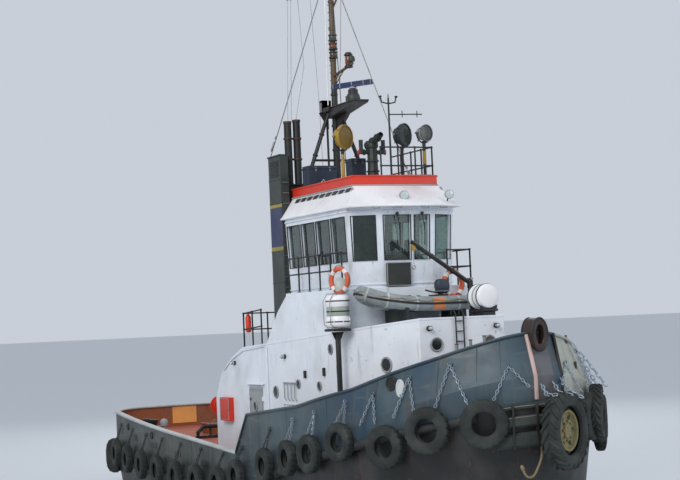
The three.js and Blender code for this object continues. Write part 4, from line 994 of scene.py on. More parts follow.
BOW_TYRES = [
    # name, centre, direction of the axle in degrees, radius, width, lugs, hub
    ("bow_tyre_large", (12.26, 0.27, 2.7), 31, 0.88, 0.42, 22, True),
    ("bow_tyre_port", (11.36, 1.75, 2.97), 52, 0.68, 0.28, 24, False),
]
for name, at, degrees, r, width, lugs, hub in BOW_TYRES:
    at = Vector(at)
    axis = heading(degrees)
    side = leftward(axis)
    w = width / 2
    hole = r * 0.62
    big = Piece(name + "_rubber", "tyre", "olive", "rubber")
    carcass = [(hole, -w * 0.5), (hole + 0.03, -w * 0.8), (r * 0.78, -w * 0.98), (r * 0.86, -w * 0.95),
               (r * 0.93, -w * 0.8), (r * 0.955, -w * 0.5), (r * 0.965, 0), (r * 0.955, w * 0.5),
               (r * 0.93, w * 0.8), (r * 0.86, w * 0.95), (r * 0.78, w * 0.98), (hole + 0.03, w * 0.8),
               (hole, w * 0.5), (hole + 0.06, w * 0.3), (hole + 0.06, -w * 0.3)]
    big.use("tyre").turned(carcass, at, axis, 64, closed=True)
    for k in range(lugs):
        for way in (-1, 1):
            path = []
            for h, reach, twist in ((0.02, 0.975, 0.0), (0.45, 0.975, 0.55),
                                    (0.82, 0.945, 1.0), (0.97, 0.86, 1.15)):
                a = 2 * math.pi * (k + 0.5 * (way > 0) + twist * 0.9) / lugs
                path.append(at + spin(side, a) * (r * reach) + axis * (way * h * w))
            big.tube(path, [r * 0.045, r * 0.05, r * 0.05, r * 0.025], 4)
    if hub:
        big.use("olive")
        big.turned([(hole * 0.80, 0), (hole * 0.86, w * 0.42), (hole * 0.83, w * 0.5),
                    (hole * 0.76, w * 0.46), (hole * 0.70, w * 0.1), (hole * 0.52, w * 0.02),
                    (hole * 0.46, w * 0.16), (hole * 0.34, w * 0.2), (hole * 0.3, w * 0.34),
                    (hole * 0.16, w * 0.38), (hole * 0.02, w * 0.38)], at, axis, 48)
        big.turned([(hole * 0.80, 0), (hole * 0.84, -w * 0.5), (hole * 0.02, -w * 0.5)], at, axis, 40)
        big.bolts(at + axis * (w * 0.16), axis, hole * 0.40, 8, 0.024, 0.045)
        for k in range(6):
            t = k * math.pi / 3
            spot = at + spin(side, t) * (hole * 0.6) + axis * (w * 0.07)
            big.use("rubber").turned([(0.055, 0.0), (0.055, 0.006), (0.002, 0.007)], spot, axis, 16)
        big.use("rubber").ring(at, axis, hole * 0.93, 0.035, 40, 8)
    else:
        big.use("rubber").turned([(hole * 0.98, -w * 0.3), (hole * 0.98, w * 0.1), (0.02, w * 0.1),
                                  (0.02, -w * 0.3)], at, axis, 40)
    big.done(replaces=[name], sharp=40)

bow = Piece("bow_fittings", "pink", "black", "chain", "pale", "rope", "steel")
for y, material, r in ((-0.2, "pink", 0.055), (0.55, "black", 0.04)):
    spread = [skin(STEM_X - 0.02 - abs(y) * 0.06, z)[0].x - abs(y) ** 2 * 0.2 for z in (4.86, 4.4, 3.95)]
    bow.use(material).tube([(spread[0], y, 4.88), (spread[1], y, 4.4), (spread[2], y, 3.95),
                            (spread[2] + 0.02, y, 3.42)], r, 10)
FAIRLEAD_Z = 4.88
for x in (11.37, 11.83):
    bow.use("black").tube(
        [(x, 0.205 * math.cos(a), FAIRLEAD_Z + 0.375 * math.sin(a))
         for a in (k * math.pi / 16 for k in range(32))], 0.022, 8, closed=True,
    )
CHAIN_FALLS = [
    # from, to
    ((11.83, -0.05, 3.78), (12.18, -0.12, 3.52)),
    ((12.18, -0.12, 3.52), (12.42, 0.02, 3.52)),
    ((11.86, 0.25, 3.8), (12.2, 0.2, 3.56)),
    ((12.2, 0.2, 3.56), (12.48, 0.35, 3.5)),
    ((11.8, 0.5, 3.86), (12.1, 0.55, 3.56)),
    ((12.1, 0.55, 3.56), (12.3, 0.75, 3.42)),
    ((11.28, 1.2, 4.6), (11.4, 1.75, 3.64)),
    ((11.02, 1.6, 4.4), (11.5, 1.95, 3.6)),
]
for a, b in CHAIN_FALLS:
    chain(bow.use("chain"), a, b, bar=0.016, pitch=0.12)
for z in (4.72, 4.1):
    spot, normal = skin(11.4, z, 1)
    along = leftward(normal)
    bow.use("black").slab(panel(spot, along * 0.05, upward(0.1)), normal * 0.02)
ROPE_LOOP = [
    (11.86, -0.13, 2.42), (11.91, -0.15, 2.24), (11.92, -0.18, 2.1), (11.92, -0.25, 1.95),
    (11.92, -0.35, 1.78), (11.92, -0.42, 1.71), (11.92, -0.5, 1.69), (11.92, -0.58, 1.71),
    (11.92, -0.64, 1.79), (11.92, -0.69, 1.92),
]
bow.use("rope").tube(ROPE_LOOP, 0.028, 8)
bow.use("rope").turned(collar(0.03, 0.045, 0.06, 0.03), ROPE_LOOP[-1], (0, -0.3, 1), 14)
OVALS = [
    # x, z, half width, half height, material
    (9.76, 3.75, 0.10, 0.19, "pale"),
    (9.5, 3.86, 0.13, 0.15, "black"),
    (-6.0, 2.0, 0.11, 0.09, "black"),
    (-9.2, 2.12, 0.11, 0.09, "black"),
]
for side in (-1, 1):
    for x, z, half_wide, half_high, material in OVALS:
        spot, normal = skin(x, z, side, 0.012)
        along = leftward(normal)
        path = [spot + along * (half_wide * math.cos(a)) + upward(half_high * math.sin(a))
                for a in (k * math.pi / 12 for k in range(24))]
        bow.use(material).tube(path, 0.03, 8, closed=True)
        bow.slab(path, normal * 0.012)
for x in (10.95, 11.2, 11.42):
    spot, normal = skin(x, lookup(RIM_FWD_Z, x) - 0.02)
    foot = spot - normal * 0.02
    bow.use("steel").rod(foot, foot + upward(0.14), 0.035, sides=14)
    bow.use("black").rod(foot + upward(0.14), foot + upward(0.16), 0.05, sides=14)
bow.done(sharp=40)

# Stern fender: a thick rubber roll held by straps

stern = Piece("stern_fender_roll", "rubber", "black")
stern.sweep(
    stern_path(-10.95),
    lambda s: [(0.0, 0.45), (0.0, 1.6), (0.14, 1.6), (0.27, 1.54), (0.35, 1.4), (0.38, 1.2), (0.38, 0.85),
               (0.35, 0.65), (0.27, 0.51), (0.14, 0.45)],
    ["rubber"] * 10,
)
for s in stern_path(-10.95)[1:-1:2]:
    spot = Vector((s["x"], s["y"], 0))
    normal = Vector((s["nx"], s["ny"], 0))
    across = leftward(normal) * 0.04
    profile = [(0.0, 0.43), (0.16, 0.43), (0.29, 0.49), (0.37, 0.64), (0.4, 0.85), (0.4, 1.2), (0.37, 1.41),
               (0.29, 1.56), (0.16, 1.62), (0.0, 1.62)]
    stern.use("black").slab([spot - across + normal * out + upward(z) for out, z in profile], across * 2)
stern.done(replaces=["stern_fender"], sharp=40)

# Wheelhouse: window seals, wipers, sill moulding, and what is seen through the glass

WHEEL_LOW = [(1.1, -1.5), (5.1, -1.5), (5.4, -0.75), (5.4, 0.75), (5.1, 1.5), (1.1, 1.5)]
WHEEL_HIGH = [(1.1, -1.6), (5.16, -1.6), (5.52, -0.8), (5.52, 0.8), (5.16, 1.6), (1.1, 1.6)]
WHEEL_Z0, WHEEL_Z1, SILL, LINTEL, MULLION = 6.2, 8.3, 6.92, 8.1, 0.1
WINDOWS = [
    # edge of the plan, where its panes begin and end as parts of its length, wiper or not
    (0, (0, 0.25, 0.5, 0.75, 1), False),
    (1, (0, 1), False),
    (2, (0, 0.62, 1), True),
    (3, (0, 1), False),
    (4, (0, 0.25, 0.5, 0.75, 1), False),
]


def wall_point(edge, t, z, out):
    """point on the wheelhouse wall, t of the way along one edge of its plan"""
    k = (z - WHEEL_Z0) / (WHEEL_Z1 - WHEEL_Z0)
    low = Vector(WHEEL_LOW[edge]).lerp(Vector(WHEEL_LOW[(edge + 1) % 6]), t)
    high = Vector(WHEEL_HIGH[edge]).lerp(Vector(WHEEL_HIGH[(edge + 1) % 6]), t)
    along = Vector(WHEEL_LOW[(edge + 1) % 6]) - Vector(WHEEL_LOW[edge])
    normal = Vector((along.y, -along.x)).normalized()
    place = low.lerp(high, k) + normal * out
    return Vector((place.x, place.y, z))


seals = Piece("window_seals", "rubber", "white", "black", "green")
for edge, ends, wiper in WINDOWS:
    length = (Vector(WHEEL_LOW[(edge + 1) % 6]) - Vector(WHEEL_LOW[edge])).length
    for a, b in zip(ends, ends[1:]):
        low = (MULLION / 2 + (length - MULLION) * a + MULLION / 2) / length
        high = (MULLION / 2 + (length - MULLION) * b - MULLION / 2) / length
        frame_path = [wall_point(edge, t, z, 0.008) for t, z in
                      ((low, SILL), (high, SILL), (high, LINTEL), (low, LINTEL))]
        seals.use("rubber").tube(frame_path, 0.018, 6, closed=True)
        if wiper:
            middle = (low + high) / 2
            seals.use("black")
            seals.rod(wall_point(edge, middle, LINTEL + 0.04, -0.01),
                      wall_point(edge, middle, LINTEL + 0.04, 0.06), 0.035)
            seals.tube([wall_point(edge, middle, LINTEL + 0.04, 0.05),
                        wall_point(edge, middle + 0.05, 7.62, 0.03)], 0.012, 6)
            seals.tube([wall_point(edge, middle + 0.05, 7.9, 0.025),
                        wall_point(edge, middle + 0.05, 7.3, 0.025)], 0.014, 6)
for z, out, r in ((6.3, 0.012, 0.028), (8.22, 0.012, 0.022)):
    ring_path = [wall_point(edge, 0.0, z, out) for edge in range(6)]
    seals.use("white").tube(ring_path, r, 8, closed=True)
seals.done(sharp=45)

cabin = Piece("wheelhouse_interior", "cabin", "pale", "black", "fabric", "screen", "brown")
cabin.use("cabin")
cabin.slab([(4.5, -1.2, 6.3), (5.15, -0.75, 6.3), (5.15, 0.75, 6.3), (4.5, 1.2, 6.3)], (0, 0, 0.55))
cabin.slab([(4.35, -0.8, 6.3), (4.35, -0.8, 7.02), (4.62, -0.8, 7.16), (4.95, -0.8, 6.9), (4.95, -0.8, 6.3)],
           (0, 1.6, 0))
cabin.slab(rect((1.3, 0.45, 6.25), (1.95, 1.38, 6.25)), (0, 0, 1.9))
cabin.slab(rect((1.3, -1.38, 6.25), (1.7, -0.7, 6.25)), (0, 0, 1.1))
cabin.use("black")
for y in (-0.55, 0.0, 0.55):
    cabin.slab([(4.56, y - 0.18, 7.16), (4.56, y + 0.18, 7.16), (4.62, y + 0.18, 7.48),
                (4.62, y - 0.18, 7.48)], (0.05, 0, 0))
cabin.use("screen")
for y in (-0.55, 0.0, 0.55):
    cabin.slab([(4.55, y - 0.15, 7.2), (4.55, y + 0.15, 7.2), (4.61, y + 0.15, 7.45), (4.61, y - 0.15, 7.45)],
               (-0.012, 0, 0))
cabin.use("fabric")
for y in (-0.5, 0.45):
    cabin.turned([(0.2, 0), (0.2, 0.03), (0.04, 0.06), (0.035, 0.42), (0.1, 0.46)], (3.5, y, 6.27), UP, 20)
    cabin.slab([(3.26, y - 0.23, 6.75), (3.74, y - 0.23, 6.75), (3.76, y + 0.23, 6.75),
                (3.24, y + 0.23, 6.75)], (0, 0, 0.1))
    cabin.slab([(3.26, y - 0.22, 6.85), (3.18, y - 0.2, 7.5), (3.18, y + 0.2, 7.5), (3.26, y + 0.22, 6.85)],
               (-0.08, 0, 0))
cabin.use("brown").ring((4.3, 0.0, 7.02), (1, 0, 0.4), 0.2, 0.018, 32, 8)
for k in range(4):
    a = k * math.pi / 2
    cabin.tube([(4.3, 0, 7.02), (4.3 - 0.07 * math.sin(a), 0.2 * math.cos(a), 7.02 + 0.18 * math.sin(a))],
               0.01, 6)
cabin.use("pale")
cabin.slab([(1.25, -1.4, 8.12), (4.9, -1.4, 8.12), (5.2, -0.7, 8.12), (5.2, 0.7, 8.12), (4.9, 1.4, 8.12),
            (1.25, 1.4, 8.12)], (0, 0, 0.03))
cabin.use("black")
for k in range(3):
    cabin.rod((4.95, -0.5 + 0.5 * k, 8.0), (4.95, -0.5 + 0.5 * k, 8.12), 0.07, 0.09, 16)
cabin.done(sharp=35)

# Brim lamps, parapet slots, gutter and grab rods

BRIM = [(0.98, -1.66), (5.45, -1.66), (5.82, -0.85), (5.82, 0.85), (5.45, 1.66), (0.98, 1.66)]
COAMING = [(0.95, -1.27), (4.95, -1.27), (5.02, -0.6), (5.02, 0.6), (4.95, 1.27), (0.95, 1.27)]
ROOF_Z, PARAPET_Z = 8.92, 9.17
brim = Piece("roof_brim_fittings", "bright", "grey", "lens", "black", "red", "steel")
brim.use("bright").tube([(x, y, 8.335) for x, y in BRIM], 0.035, 8, closed=True)
brim.use("red").tube([(x, y, PARAPET_Z + 0.008) for x, y in COAMING], 0.03, 8, closed=True)
brim.use("grey").tube([(x, y * 1.012, ROOF_Z + 0.012) for x, y in COAMING], 0.022, 8, closed=True)
for x, y, z in ((5.6, -0.09, 8.61), (5.7, 1.21, 8.62)):
    brim.use("grey").turned([(0.02, -0.2), (0.07, -0.18), (0.12, -0.04), (0.125, 0.03), (0.11, 0.045)],
                            (x, y, z), (1, -0.15, -0.1), 24)
    brim.use("lens").turned([(0.105, 0.0), (0.105, 0.046), (0.07, 0.055), (0.01, 0.06)],
                            (x, y, z), (1, -0.15, -0.1), 24)
    brim.use("black").tube([(x - 0.12, y, z - 0.17), (x - 0.05, y, z - 0.06)], 0.018, 8)
SLOTS = 9
for side in (-1, 1):
    for k in range(SLOTS):
        x = 1.35 + 0.42 * k
        low = Vector((x, side * 1.375, 8.75))
        high = Vector((x + 0.03, side * 1.315, 8.86))
        wide = Vector((0.26, 0, 0))
        out = Vector((0, side * 0.02, 0.012))
        brim.use("black").slab([low, low + wide, high + wide, high], out)
        brim.use("grey").rod(low + wide * 1.3, high + wide * 1.3 + upward(0.01), 0.022, sides=8)
for y in (-1.0, -0.4, 0.4, 1.0):
    x = 5.9 - 0.15 * abs(y)
    brim.use("steel").tube([(x, y - 0.1, 8.31), (x + 0.02, y - 0.1, 8.26), (x + 0.02, y + 0.1, 8.26),
                            (x, y + 0.1, 8.31)], 0.01, 6)
brim.done(sharp=40)

HOUSE_TOP = [(-4, 3.2), (-3.45, 3.95), (-2.6, 4.4), (-1.6, 4.72), (1.4, 4.9), (5.4, 5.13), (8.25, 5.36)]

# House fittings: portholes, lamps, ladder, plain panel, hose box, door frames, vents, pipes, seams

fit = Piece("house_fittings", "white", "black", "grey", "lens", "red", "steel", "dark_panel",
            "brown", "pale", "glass_dark")


def porthole(at, normal, r):
    fit.use("grey").turned([(r * 1.3, -0.01), (r * 1.3, 0.02), (r * 1.2, 0.035), (r, 0.03), (r * 0.98, 0.012),
                            (r * 0.02, 0.012)], at, normal, 28)
    fit.use("glass_dark").turned([(r * 0.97, 0.005), (r * 0.97, 0.016), (r * 0.02, 0.018)], at, normal, 28)
    fit.use("steel").bolts(Vector(at) + Vector(normal).normalized() * 0.03, normal, r * 1.15, 8, 0.014, 0.014)


def lamp(at, normal):
    """bulkhead lamp in its guard"""
    r, long = 0.055, 0.16
    normal = Vector(normal).normalized()
    fit.use("black").turned([(r * 1.2, 0), (r * 1.2, 0.03), (r, 0.04)], at, normal, 16)
    fit.use("lens").turned([(r * 0.85, 0.03), (r * 0.85, long * 0.75), (r * 0.5, long), (0.005, long * 1.05)],
                           at, normal, 16)
    fit.use("black")
    for q in (0.35, 0.7):
        fit.ring(Vector(at) + normal * (long * q), normal, r, 0.006, 16, 6)


FRONT_X, SIDE_Y = 8.25, -2.0
PORTHOLES = [
    # place on the starboard side, radius
    ((4.74, SIDE_Y, 4.65), 0.11),
    ((0.9, SIDE_Y, 3.45), 0.14),
    ((2.53, SIDE_Y, 3.7), 0.10),
    ((3.93, SIDE_Y, 3.67), 0.10),
]
for (x, y, z), r in PORTHOLES:
    for side in (1, -1):
        porthole((x, y * side, z), (0, -side, 0), r)
for side in (-1, 1):
    at = Vector((7.05, side * 1.537, 4.23))
    porthole(at, Vector((0.2706, side * 0.9627, 0)), 0.16)
for y in (-0.75, 0.75):
    porthole((FRONT_X, y, 4.7), (1, 0, 0), 0.14)
LAMPS = [
    # place, direction
    ((-2.25, -2.0, 4.25), (0, -1, 0)),
    ((1.64, -2.0, 4.45), (0, -1, 0)),
    ((-2.25, 2.0, 4.25), (0, 1, 0)),
    ((1.64, 2.0, 4.45), (0, 1, 0)),
    ((FRONT_X, -0.95, 5.1), (1, 0, 0)),
    ((FRONT_X, 0.95, 5.1), (1, 0, 0)),
]
for at, normal in LAMPS:
    lamp(at, normal)

# plain dark panel under the front windows, with a frame
fit.use("dark_panel").slab([(5.5, -0.63, 6.24), (5.5, 0.07, 6.24), (5.52, 0.07, 6.84), (5.52, -0.63, 6.84)],
                           (-0.08, 0, 0))
fit.use("grey").tube([(5.5, -0.63, 6.24), (5.5, 0.07, 6.24), (5.52, 0.07, 6.84), (5.52, -0.63, 6.84)],
                     0.02, 8, closed=True)

# ladder up the front of the house, and rungs up the tower's after side
for y in (-0.21, 0.01):
    fit.use("black").tube([(8.3, y, 3.3), (8.3, y, 5.42), (8.22, y, 5.52), (8.1, y, 5.52), (8.06, y, 5.4)],
                          0.02, 8)
for k in range(8):
    fit.tube([(8.3, -0.21, 3.5 + 0.25 * k), (8.3, 0.01, 3.5 + 0.25 * k)], 0.014, 8)
for k in range(9):
    z = 6.35 + 0.28 * k
    fit.use("steel").tube(rect((1.09, -0.15, z), (1.0, 0.15, z)), 0.014, 8)

# hose box, vents and stowed gear along both sides
for side in (-1, 1):
    y = side * 2.0
    fit.use("red").slab(rect((-3.28, y, 2.5), (-2.51, y, 3.2)), (0, side * 0.16, 0))
    fit.use("grey").tube(rect((-3.25, y + side * 0.165, 2.54), (-2.54, y + side * 0.165, 3.16)),
                         0.012, 6, closed=True)
    fit.use("steel").rod((-2.6, y + side * 0.16, 2.85), (-2.6, y + side * 0.2, 2.85), 0.03, sides=12)
    for x, z, high in ((3.03, 3.87, 0.2), (4.29, 3.94, 0.22), (5.2, 4.04, 0.2)):
        fit.use("black").slab(rect((x - 0.04, y, z), (x + 0.04, y, z + high)), (0, side * 0.06, 0))
    for k in range(5):
        z = 2.75 + 0.07 * k
        fit.use("pale").slab([(1.5, y, z), (2.1, y, z), (2.1, y + side * 0.035, z - 0.03),
                              (1.5, y + side * 0.035, z - 0.03)], (0, 0, 0.012))
    fit.use("pale").tube(rect((1.46, y + side * 0.012, 2.68), (2.14, y + side * 0.012, 3.12)),
                         0.02, 6, closed=True)
    # frame round the doorway, and a rain strip over it
    fit.use("white").tube([(-1.1, y, 1.42), (-1.1, y, 3.6), (-0.28, y, 3.6)], 0.024, 8)
    fit.use("white").slab([(-1.25, y, 3.66), (0.05, y, 3.66), (0.05, y + side * 0.09, 3.63),
                           (-1.25, y + side * 0.09, 3.63)], (0, 0, 0.018))
    # pipe rack, and the gutter along the rounded after end
    for k in range(4):
        x = 1.62 + 0.24 * k
        fit.use("grey").tube([(x, y, 3.72), (x, y + side * 0.06, 3.7), (x, y + side * 0.06, 3.3),
                              (x + 0.1, y + side * 0.05, 3.24)], 0.016, 8)
    fit.use("grey").tube([(1.5, y + side * 0.04, 3.72), (2.5, y + side * 0.04, 3.72)], 0.018, 8)
    fit.use("white").tube([(-3.2, y + side * 0.02, 4.02), (-2.4, y + side * 0.02, 4.38),
                           (-1.5, y + side * 0.02, 4.62), (0.15, y + side * 0.02, 4.74)], 0.016, 8)
    # plate that carries the house side up into the tower
    fit.use("white").slab([(0.3, side * 1.995, 4.82), (5.42, side * 1.995, 5.1), (5.42, side * 1.995, 6.19),
                           (1.95, side * 1.995, 6.19), (1.2, side * 1.995, 5.7)], (0, side * -0.05, 0))
    fit.use("white").tube([(0.35, y + side * 0.025, 2.3), (0.35, y + side * 0.025, 4.7)], 0.022, 8)
# weld seams of the shell plates
for x in (-2.0, 0.6, 2.3, 4.9):
    top = lookup(HOUSE_TOP, x) - 0.06
    for y in (-2.001, 2.001):
        fit.use("white").tube([(x, y, 2.2), (x, y, top)], 0.006, 4)
for z in (3.4, 4.4):
    fit.use("white").tube([(FRONT_X + 0.001, -1.15, z), (FRONT_X + 0.001, 1.15, z)], 0.006, 4)
# mushroom vents on the house top
VENTS = [
    # x, y, height, radius
    (-0.9, 1.35, 0.42, 0.14),
    (-1.2, 0.1, 0.5, 0.16),
]
for x, y, high, r in VENTS:
    base = lookup(HOUSE_TOP, x)
    fit.use("white").turned([(r * 0.65, -0.05), (r * 0.65, high * 0.7)], (x, y, base), UP, 20)
    fit.turned([(r, high * 0.6), (r * 1.05, high * 0.75), (r * 0.9, high * 0.92), (r * 0.3, high)],
               (x, y, base), UP, 24)
fit.done(sharp=40)

# Rails of round tube, each with its posts, foot plates and bars

TOWER_TOP = 6.2


def flat(z):
    return lambda x: z


def house_level(x):
    return lookup(HOUSE_TOP, x) - 0.03


AERIAL_X = 4.86
RAILS = [
    # node, corners, base height, bar heights, post spacing
    ("roof_rail", [(2.4, 1.2), (4.86, 1.2), (4.86, -0.35)], flat(ROOF_Z), (0.55, 1.05), 0.6),
    ("walkway_rail_starboard", [(1.9, -1.9), (5.42, -1.9)], flat(TOWER_TOP), (0.5, 0.95), 0.7),
    ("walkway_rail_port", [(1.9, 1.9), (5.44, 1.9), (5.44, 1.2)], flat(TOWER_TOP), (0.5, 0.95), 0.7),
    ("house_rail", [(-0.2, -1.93), (-1.6, -1.93), (-1.6, 1.93), (0.9, 1.93)],
     house_level, (0.55, 1.03), 0.75),
]
for node, path, base, heights, spacing in RAILS:
    rail = Piece(node + "_tubes", "black", "steel", "red")
    for h in heights:
        rail.use("black").tube([(x, y, base(x) + h) for x, y in path], 0.021, 10)
    for (ax, ay), (bx, by) in zip(path, path[1:]):
        steps = max(1, round(math.hypot(bx - ax, by - ay) / spacing))
        for k in range(steps + 1):
            x, y = ax + (bx - ax) * k / steps, ay + (by - ay) * k / steps
            foot = base(x)
            rail.use("black").rod((x, y, foot - 0.005), (x, y, foot + heights[-1]), 0.024, sides=10)
            rail.use("steel").turned([(0.055, 0.0), (0.055, 0.014), (0.028, 0.03)],
                                     (x, y, foot + 0.02 * (node == "house_rail")), UP, 12)
            for h in heights:
                rail.use("black").turned(collar(0.02, 0.031, 0.03, 0.02), (x, y, foot + h), UP, 10)
    if node == "roof_rail":
        rail.use("black").rod((AERIAL_X, -0.05, ROOF_Z), (AERIAL_X, -0.05, 11.3), 0.03, 0.024, 12)
        rail.tube([(AERIAL_X, -0.29, 11.34), (AERIAL_X, -0.25, 11.18), (AERIAL_X, -0.05, 11.14),
                   (AERIAL_X, 0.15, 11.18), (AERIAL_X, 0.19, 11.34)], 0.02, 8)
        for y in (-0.29, 0.19):
            rail.turned([(0.02, 0), (0.04, 0.02), (0.045, 0.05), (0.01, 0.06)], (AERIAL_X, y, 11.3), UP, 14)
        rail.rod((AERIAL_X, -0.05, 11.1), (AERIAL_X, -0.05, 11.4), 0.02, 0.012, 10)
        rail.rod((AERIAL_X, -0.05, 10.85), (AERIAL_X, 0.95, 10.87), 0.016, sides=8)
        for y in (0.35, 0.8):
            rail.rod((AERIAL_X, y, 10.78), (AERIAL_X, y, 10.96), 0.012, sides=8)
        rail.use("steel").tube([(AERIAL_X, 0.3, ROOF_Z + 0.3), (AERIAL_X, 1.15, ROOF_Z + 0.3)], 0.012, 8)
    if node == "house_rail":
        rail.use("red").turned([(0.02, 0), (0.08, 0.02), (0.085, 0.45), (0.05, 0.52), (0.02, 0.56)],
                               (-1.5, -1.82, house_level(-1.5) + 0.45), UP, 20)
    rail.done(replaces=[node], sharp=40)

# Lifebuoys

buoys = Piece("lifebuoys", "buoy", "tape", "rope", "steel", "fabric_light")
LIFEBUOYS = [
    # centre, the way it faces in degrees, outer radius
    ((5.63, -2.08, 6.42), -70, 0.36),
    ((5.70, 1.20, 6.23), 15, 0.39),
]
for at, degrees, r in LIFEBUOYS:
    at = Vector(at)
    axis = heading(degrees)
    side = leftward(axis)
    thick = 0.062
    middle = r - thick

    def around(a, radius, out=0.0):
        return at + spin(side, a) * radius + axis * out

    buoys.use("buoy").ring(at, axis, middle, thick, 48, 14)
    for q in range(4):
        a = math.pi / 4 + q * math.pi / 2
        buoys.use("tape").tube([around(a + 0.2 * (k - 2) / 2, middle) for k in range(5)], thick * 1.05, 14)
        buoys.use("rope").tube([around(a + 0.2 + (math.pi / 2 - 0.4) * k / 6,
                                       r + 0.03 * math.sin(math.pi * k / 6)) for k in range(7)], 0.011, 6)
    buoys.use("steel")
    for q in (-1, 1):
        low = around(-math.pi / 2 + q * 0.5, middle, -0.02)
        buoys.tube([low - axis * 0.16, low - upward(0.05) - axis * 0.02, low - upward(0.06) + axis * 0.06,
                    low + axis * 0.1], 0.012, 8)
# bundle hanging inside the starboard buoy
buoys.use("fabric_light").turned([(0.02, -0.05), (0.12, -0.04), (0.16, 0.06), (0.15, 0.3), (0.08, 0.36),
                                  (0.02, 0.37)], (5.56, -2.02, 6.12), UP, 18)
buoys.done(sharp=50)

# Life rafts: drums in two shells with bands and lashings

rafts = Piece("life_raft_drum_starboard", "bright", "raft_grey", "black", "steel", "rope")
at = Vector((5.75, -2.22, 5.2))
shape = [(0.02, 0), (0.2, 0.0), (0.26, 0.02), (0.295, 0.06), (0.31, 0.12), (0.305, 0.26), (0.285, 0.3),
         (0.285, 0.55), (0.305, 0.59), (0.31, 0.73), (0.295, 0.79), (0.26, 0.83), (0.2, 0.85), (0.02, 0.85)]
rafts.use("bright").turned(shape, at, UP, 40)
rafts.use("raft_grey").turned([(0.284, 0.3), (0.289, 0.31), (0.289, 0.54), (0.284, 0.55)], at, UP, 40)
for h, r in ((0.16, 0.3), (0.425, 0.285), (0.69, 0.3)):
    rafts.use("black").turned(collar(r, r + 0.015, 0.018, 0.014), at + upward(h), UP, 40)
for k in range(8):
    out = heading(45 * k)
    rafts.use("bright").tube([at + out * r + upward(h) for r, h in ((0.302, 0.1), (0.314, 0.2), (0.3, 0.27))],
                             0.014, 6)
rafts.use("steel")
for dx in (-0.2, 0.2):
    lashing = ((-0.2, 0.0), (-0.31, 0.1), (-0.32, 0.7), (-0.2, 0.88), (0.15, 0.88))
    rafts.tube([at + Vector((dx, y, z)) for y, z in lashing], 0.011, 6)
rafts.done(replaces=["life_raft_starboard"], sharp=35)

POST_X, POST_Y = 5.75, -2.25
raft_post = Piece("raft_post_frame", "black", "steel")
raft_post.use("black").rod((POST_X, POST_Y, 2.4), (POST_X, POST_Y, 5.1), 0.07, sides=24)
raft_post.turned([(0.16, 0.0), (0.16, 0.02), (0.075, 0.09)], (POST_X, POST_Y, lookup(DECK_Z, POST_X)), UP, 24)
raft_post.tube(rect((5.49, -2.47, 5.15), (6.01, -2.02, 5.15)), 0.035, 8, closed=True)
raft_post.slab(rect((5.5, -2.45, 5.12), (6.0, -2.04, 5.12)), (0, 0, 0.07))
for dx, dy in ((-0.2, 0), (0.2, 0), (0, -0.17), (0, 0.17)):
    raft_post.slab([(POST_X, POST_Y, 4.75), (POST_X + dx, POST_Y + dy, 5.1), (POST_X, POST_Y, 5.1)],
                   Vector((dy, -dx, 0)).normalized() * 0.02)
raft_post.use("steel").bolts((POST_X, POST_Y, lookup(DECK_Z, POST_X) + 0.02), UP, 0.13, 6, 0.016, 0.02)
raft_post.done(replaces=["raft_post"], sharp=35)

port_raft = Piece("life_raft_drum_port", "bright", "raft_grey", "black", "steel")
at = Vector((7.15, 1.05, 5.84))
port_raft.use("bright").turned(
    [(0.02, 0), (0.2, 0.0), (0.28, 0.03), (0.315, 0.09), (0.32, 0.2), (0.30, 0.24), (0.30, 0.46), (0.32, 0.5),
     (0.315, 0.61), (0.28, 0.67), (0.2, 0.7), (0.02, 0.7)], at, (1, 0, 0), 40)
port_raft.use("raft_grey").turned([(0.3, 0.335), (0.325, 0.34), (0.325, 0.36), (0.3, 0.365)],
                                  at, (1, 0, 0), 40)
for h in (0.14, 0.56):
    port_raft.use("black").turned([(0.315, h - 0.02), (0.328, h - 0.016), (0.328, h + 0.016),
                                   (0.315, h + 0.02)], at, (1, 0, 0), 40)
port_raft.use("black")
for x in (7.25, 7.75):
    port_raft.slab([(x, 0.83, 5.45), (x, 1.27, 5.45), (x, 1.3, 5.62), (x, 1.2, 5.56), (x, 0.9, 5.56),
                    (x, 0.8, 5.62)], (0.04, 0, 0))
    port_raft.slab(rect((x, 0.87, 5.25), (x, 1.23, 5.47)), (0.04, 0, 0))
port_raft.tube(rect((7.18, 0.84, 5.49), (7.84, 1.26, 5.49)), 0.03, 8, closed=True)
port_raft.done(replaces=["life_raft_port"], sharp=35)

# Dinghy: welded tubes with seams and patches, lifeline, grab handles, boards, and the outboard

DINGHY_X, DINGHY_Y, DINGHY_Z, DINGHY_R = 6.2, -0.1, 5.72, 0.19
TUBE = [
    # y along the boat, x across as a part of the half beam, height
    (1.5, -1, 0.0), (0.8, -1, 0.0), (0.1, -1, 0.0), (-0.4, -0.97, 0.02), (-0.8, -0.88, 0.07),
    (-1.15, -0.73, 0.14), (-1.4, -0.5, 0.22), (-1.58, -0.27, 0.30), (-1.66, 0, 0.335), (-1.58, 0.27, 0.30),
    (-1.4, 0.5, 0.22), (-1.15, 0.73, 0.14), (-0.8, 0.88, 0.07), (-0.4, 0.97, 0.02), (0.1, 1, 0.0),
    (0.8, 1, 0.0), (1.5, 1, 0.0),
]
tube_path = [Vector((DINGHY_X + x * 0.5, DINGHY_Y + y, DINGHY_Z + z)) for y, x, z in TUBE]
boat = Piece("dinghy_hull", "fabric", "fabric_light", "black", "orange_patch", "rope", "grey", "brown")
tip, neck = Vector((0, 0.02, 0)), Vector((0, -0.16, 0))
first, last = tube_path[0], tube_path[-1]
cone = [first + tip, first + neck] + tube_path[1:-1] + [last + neck, last + tip]
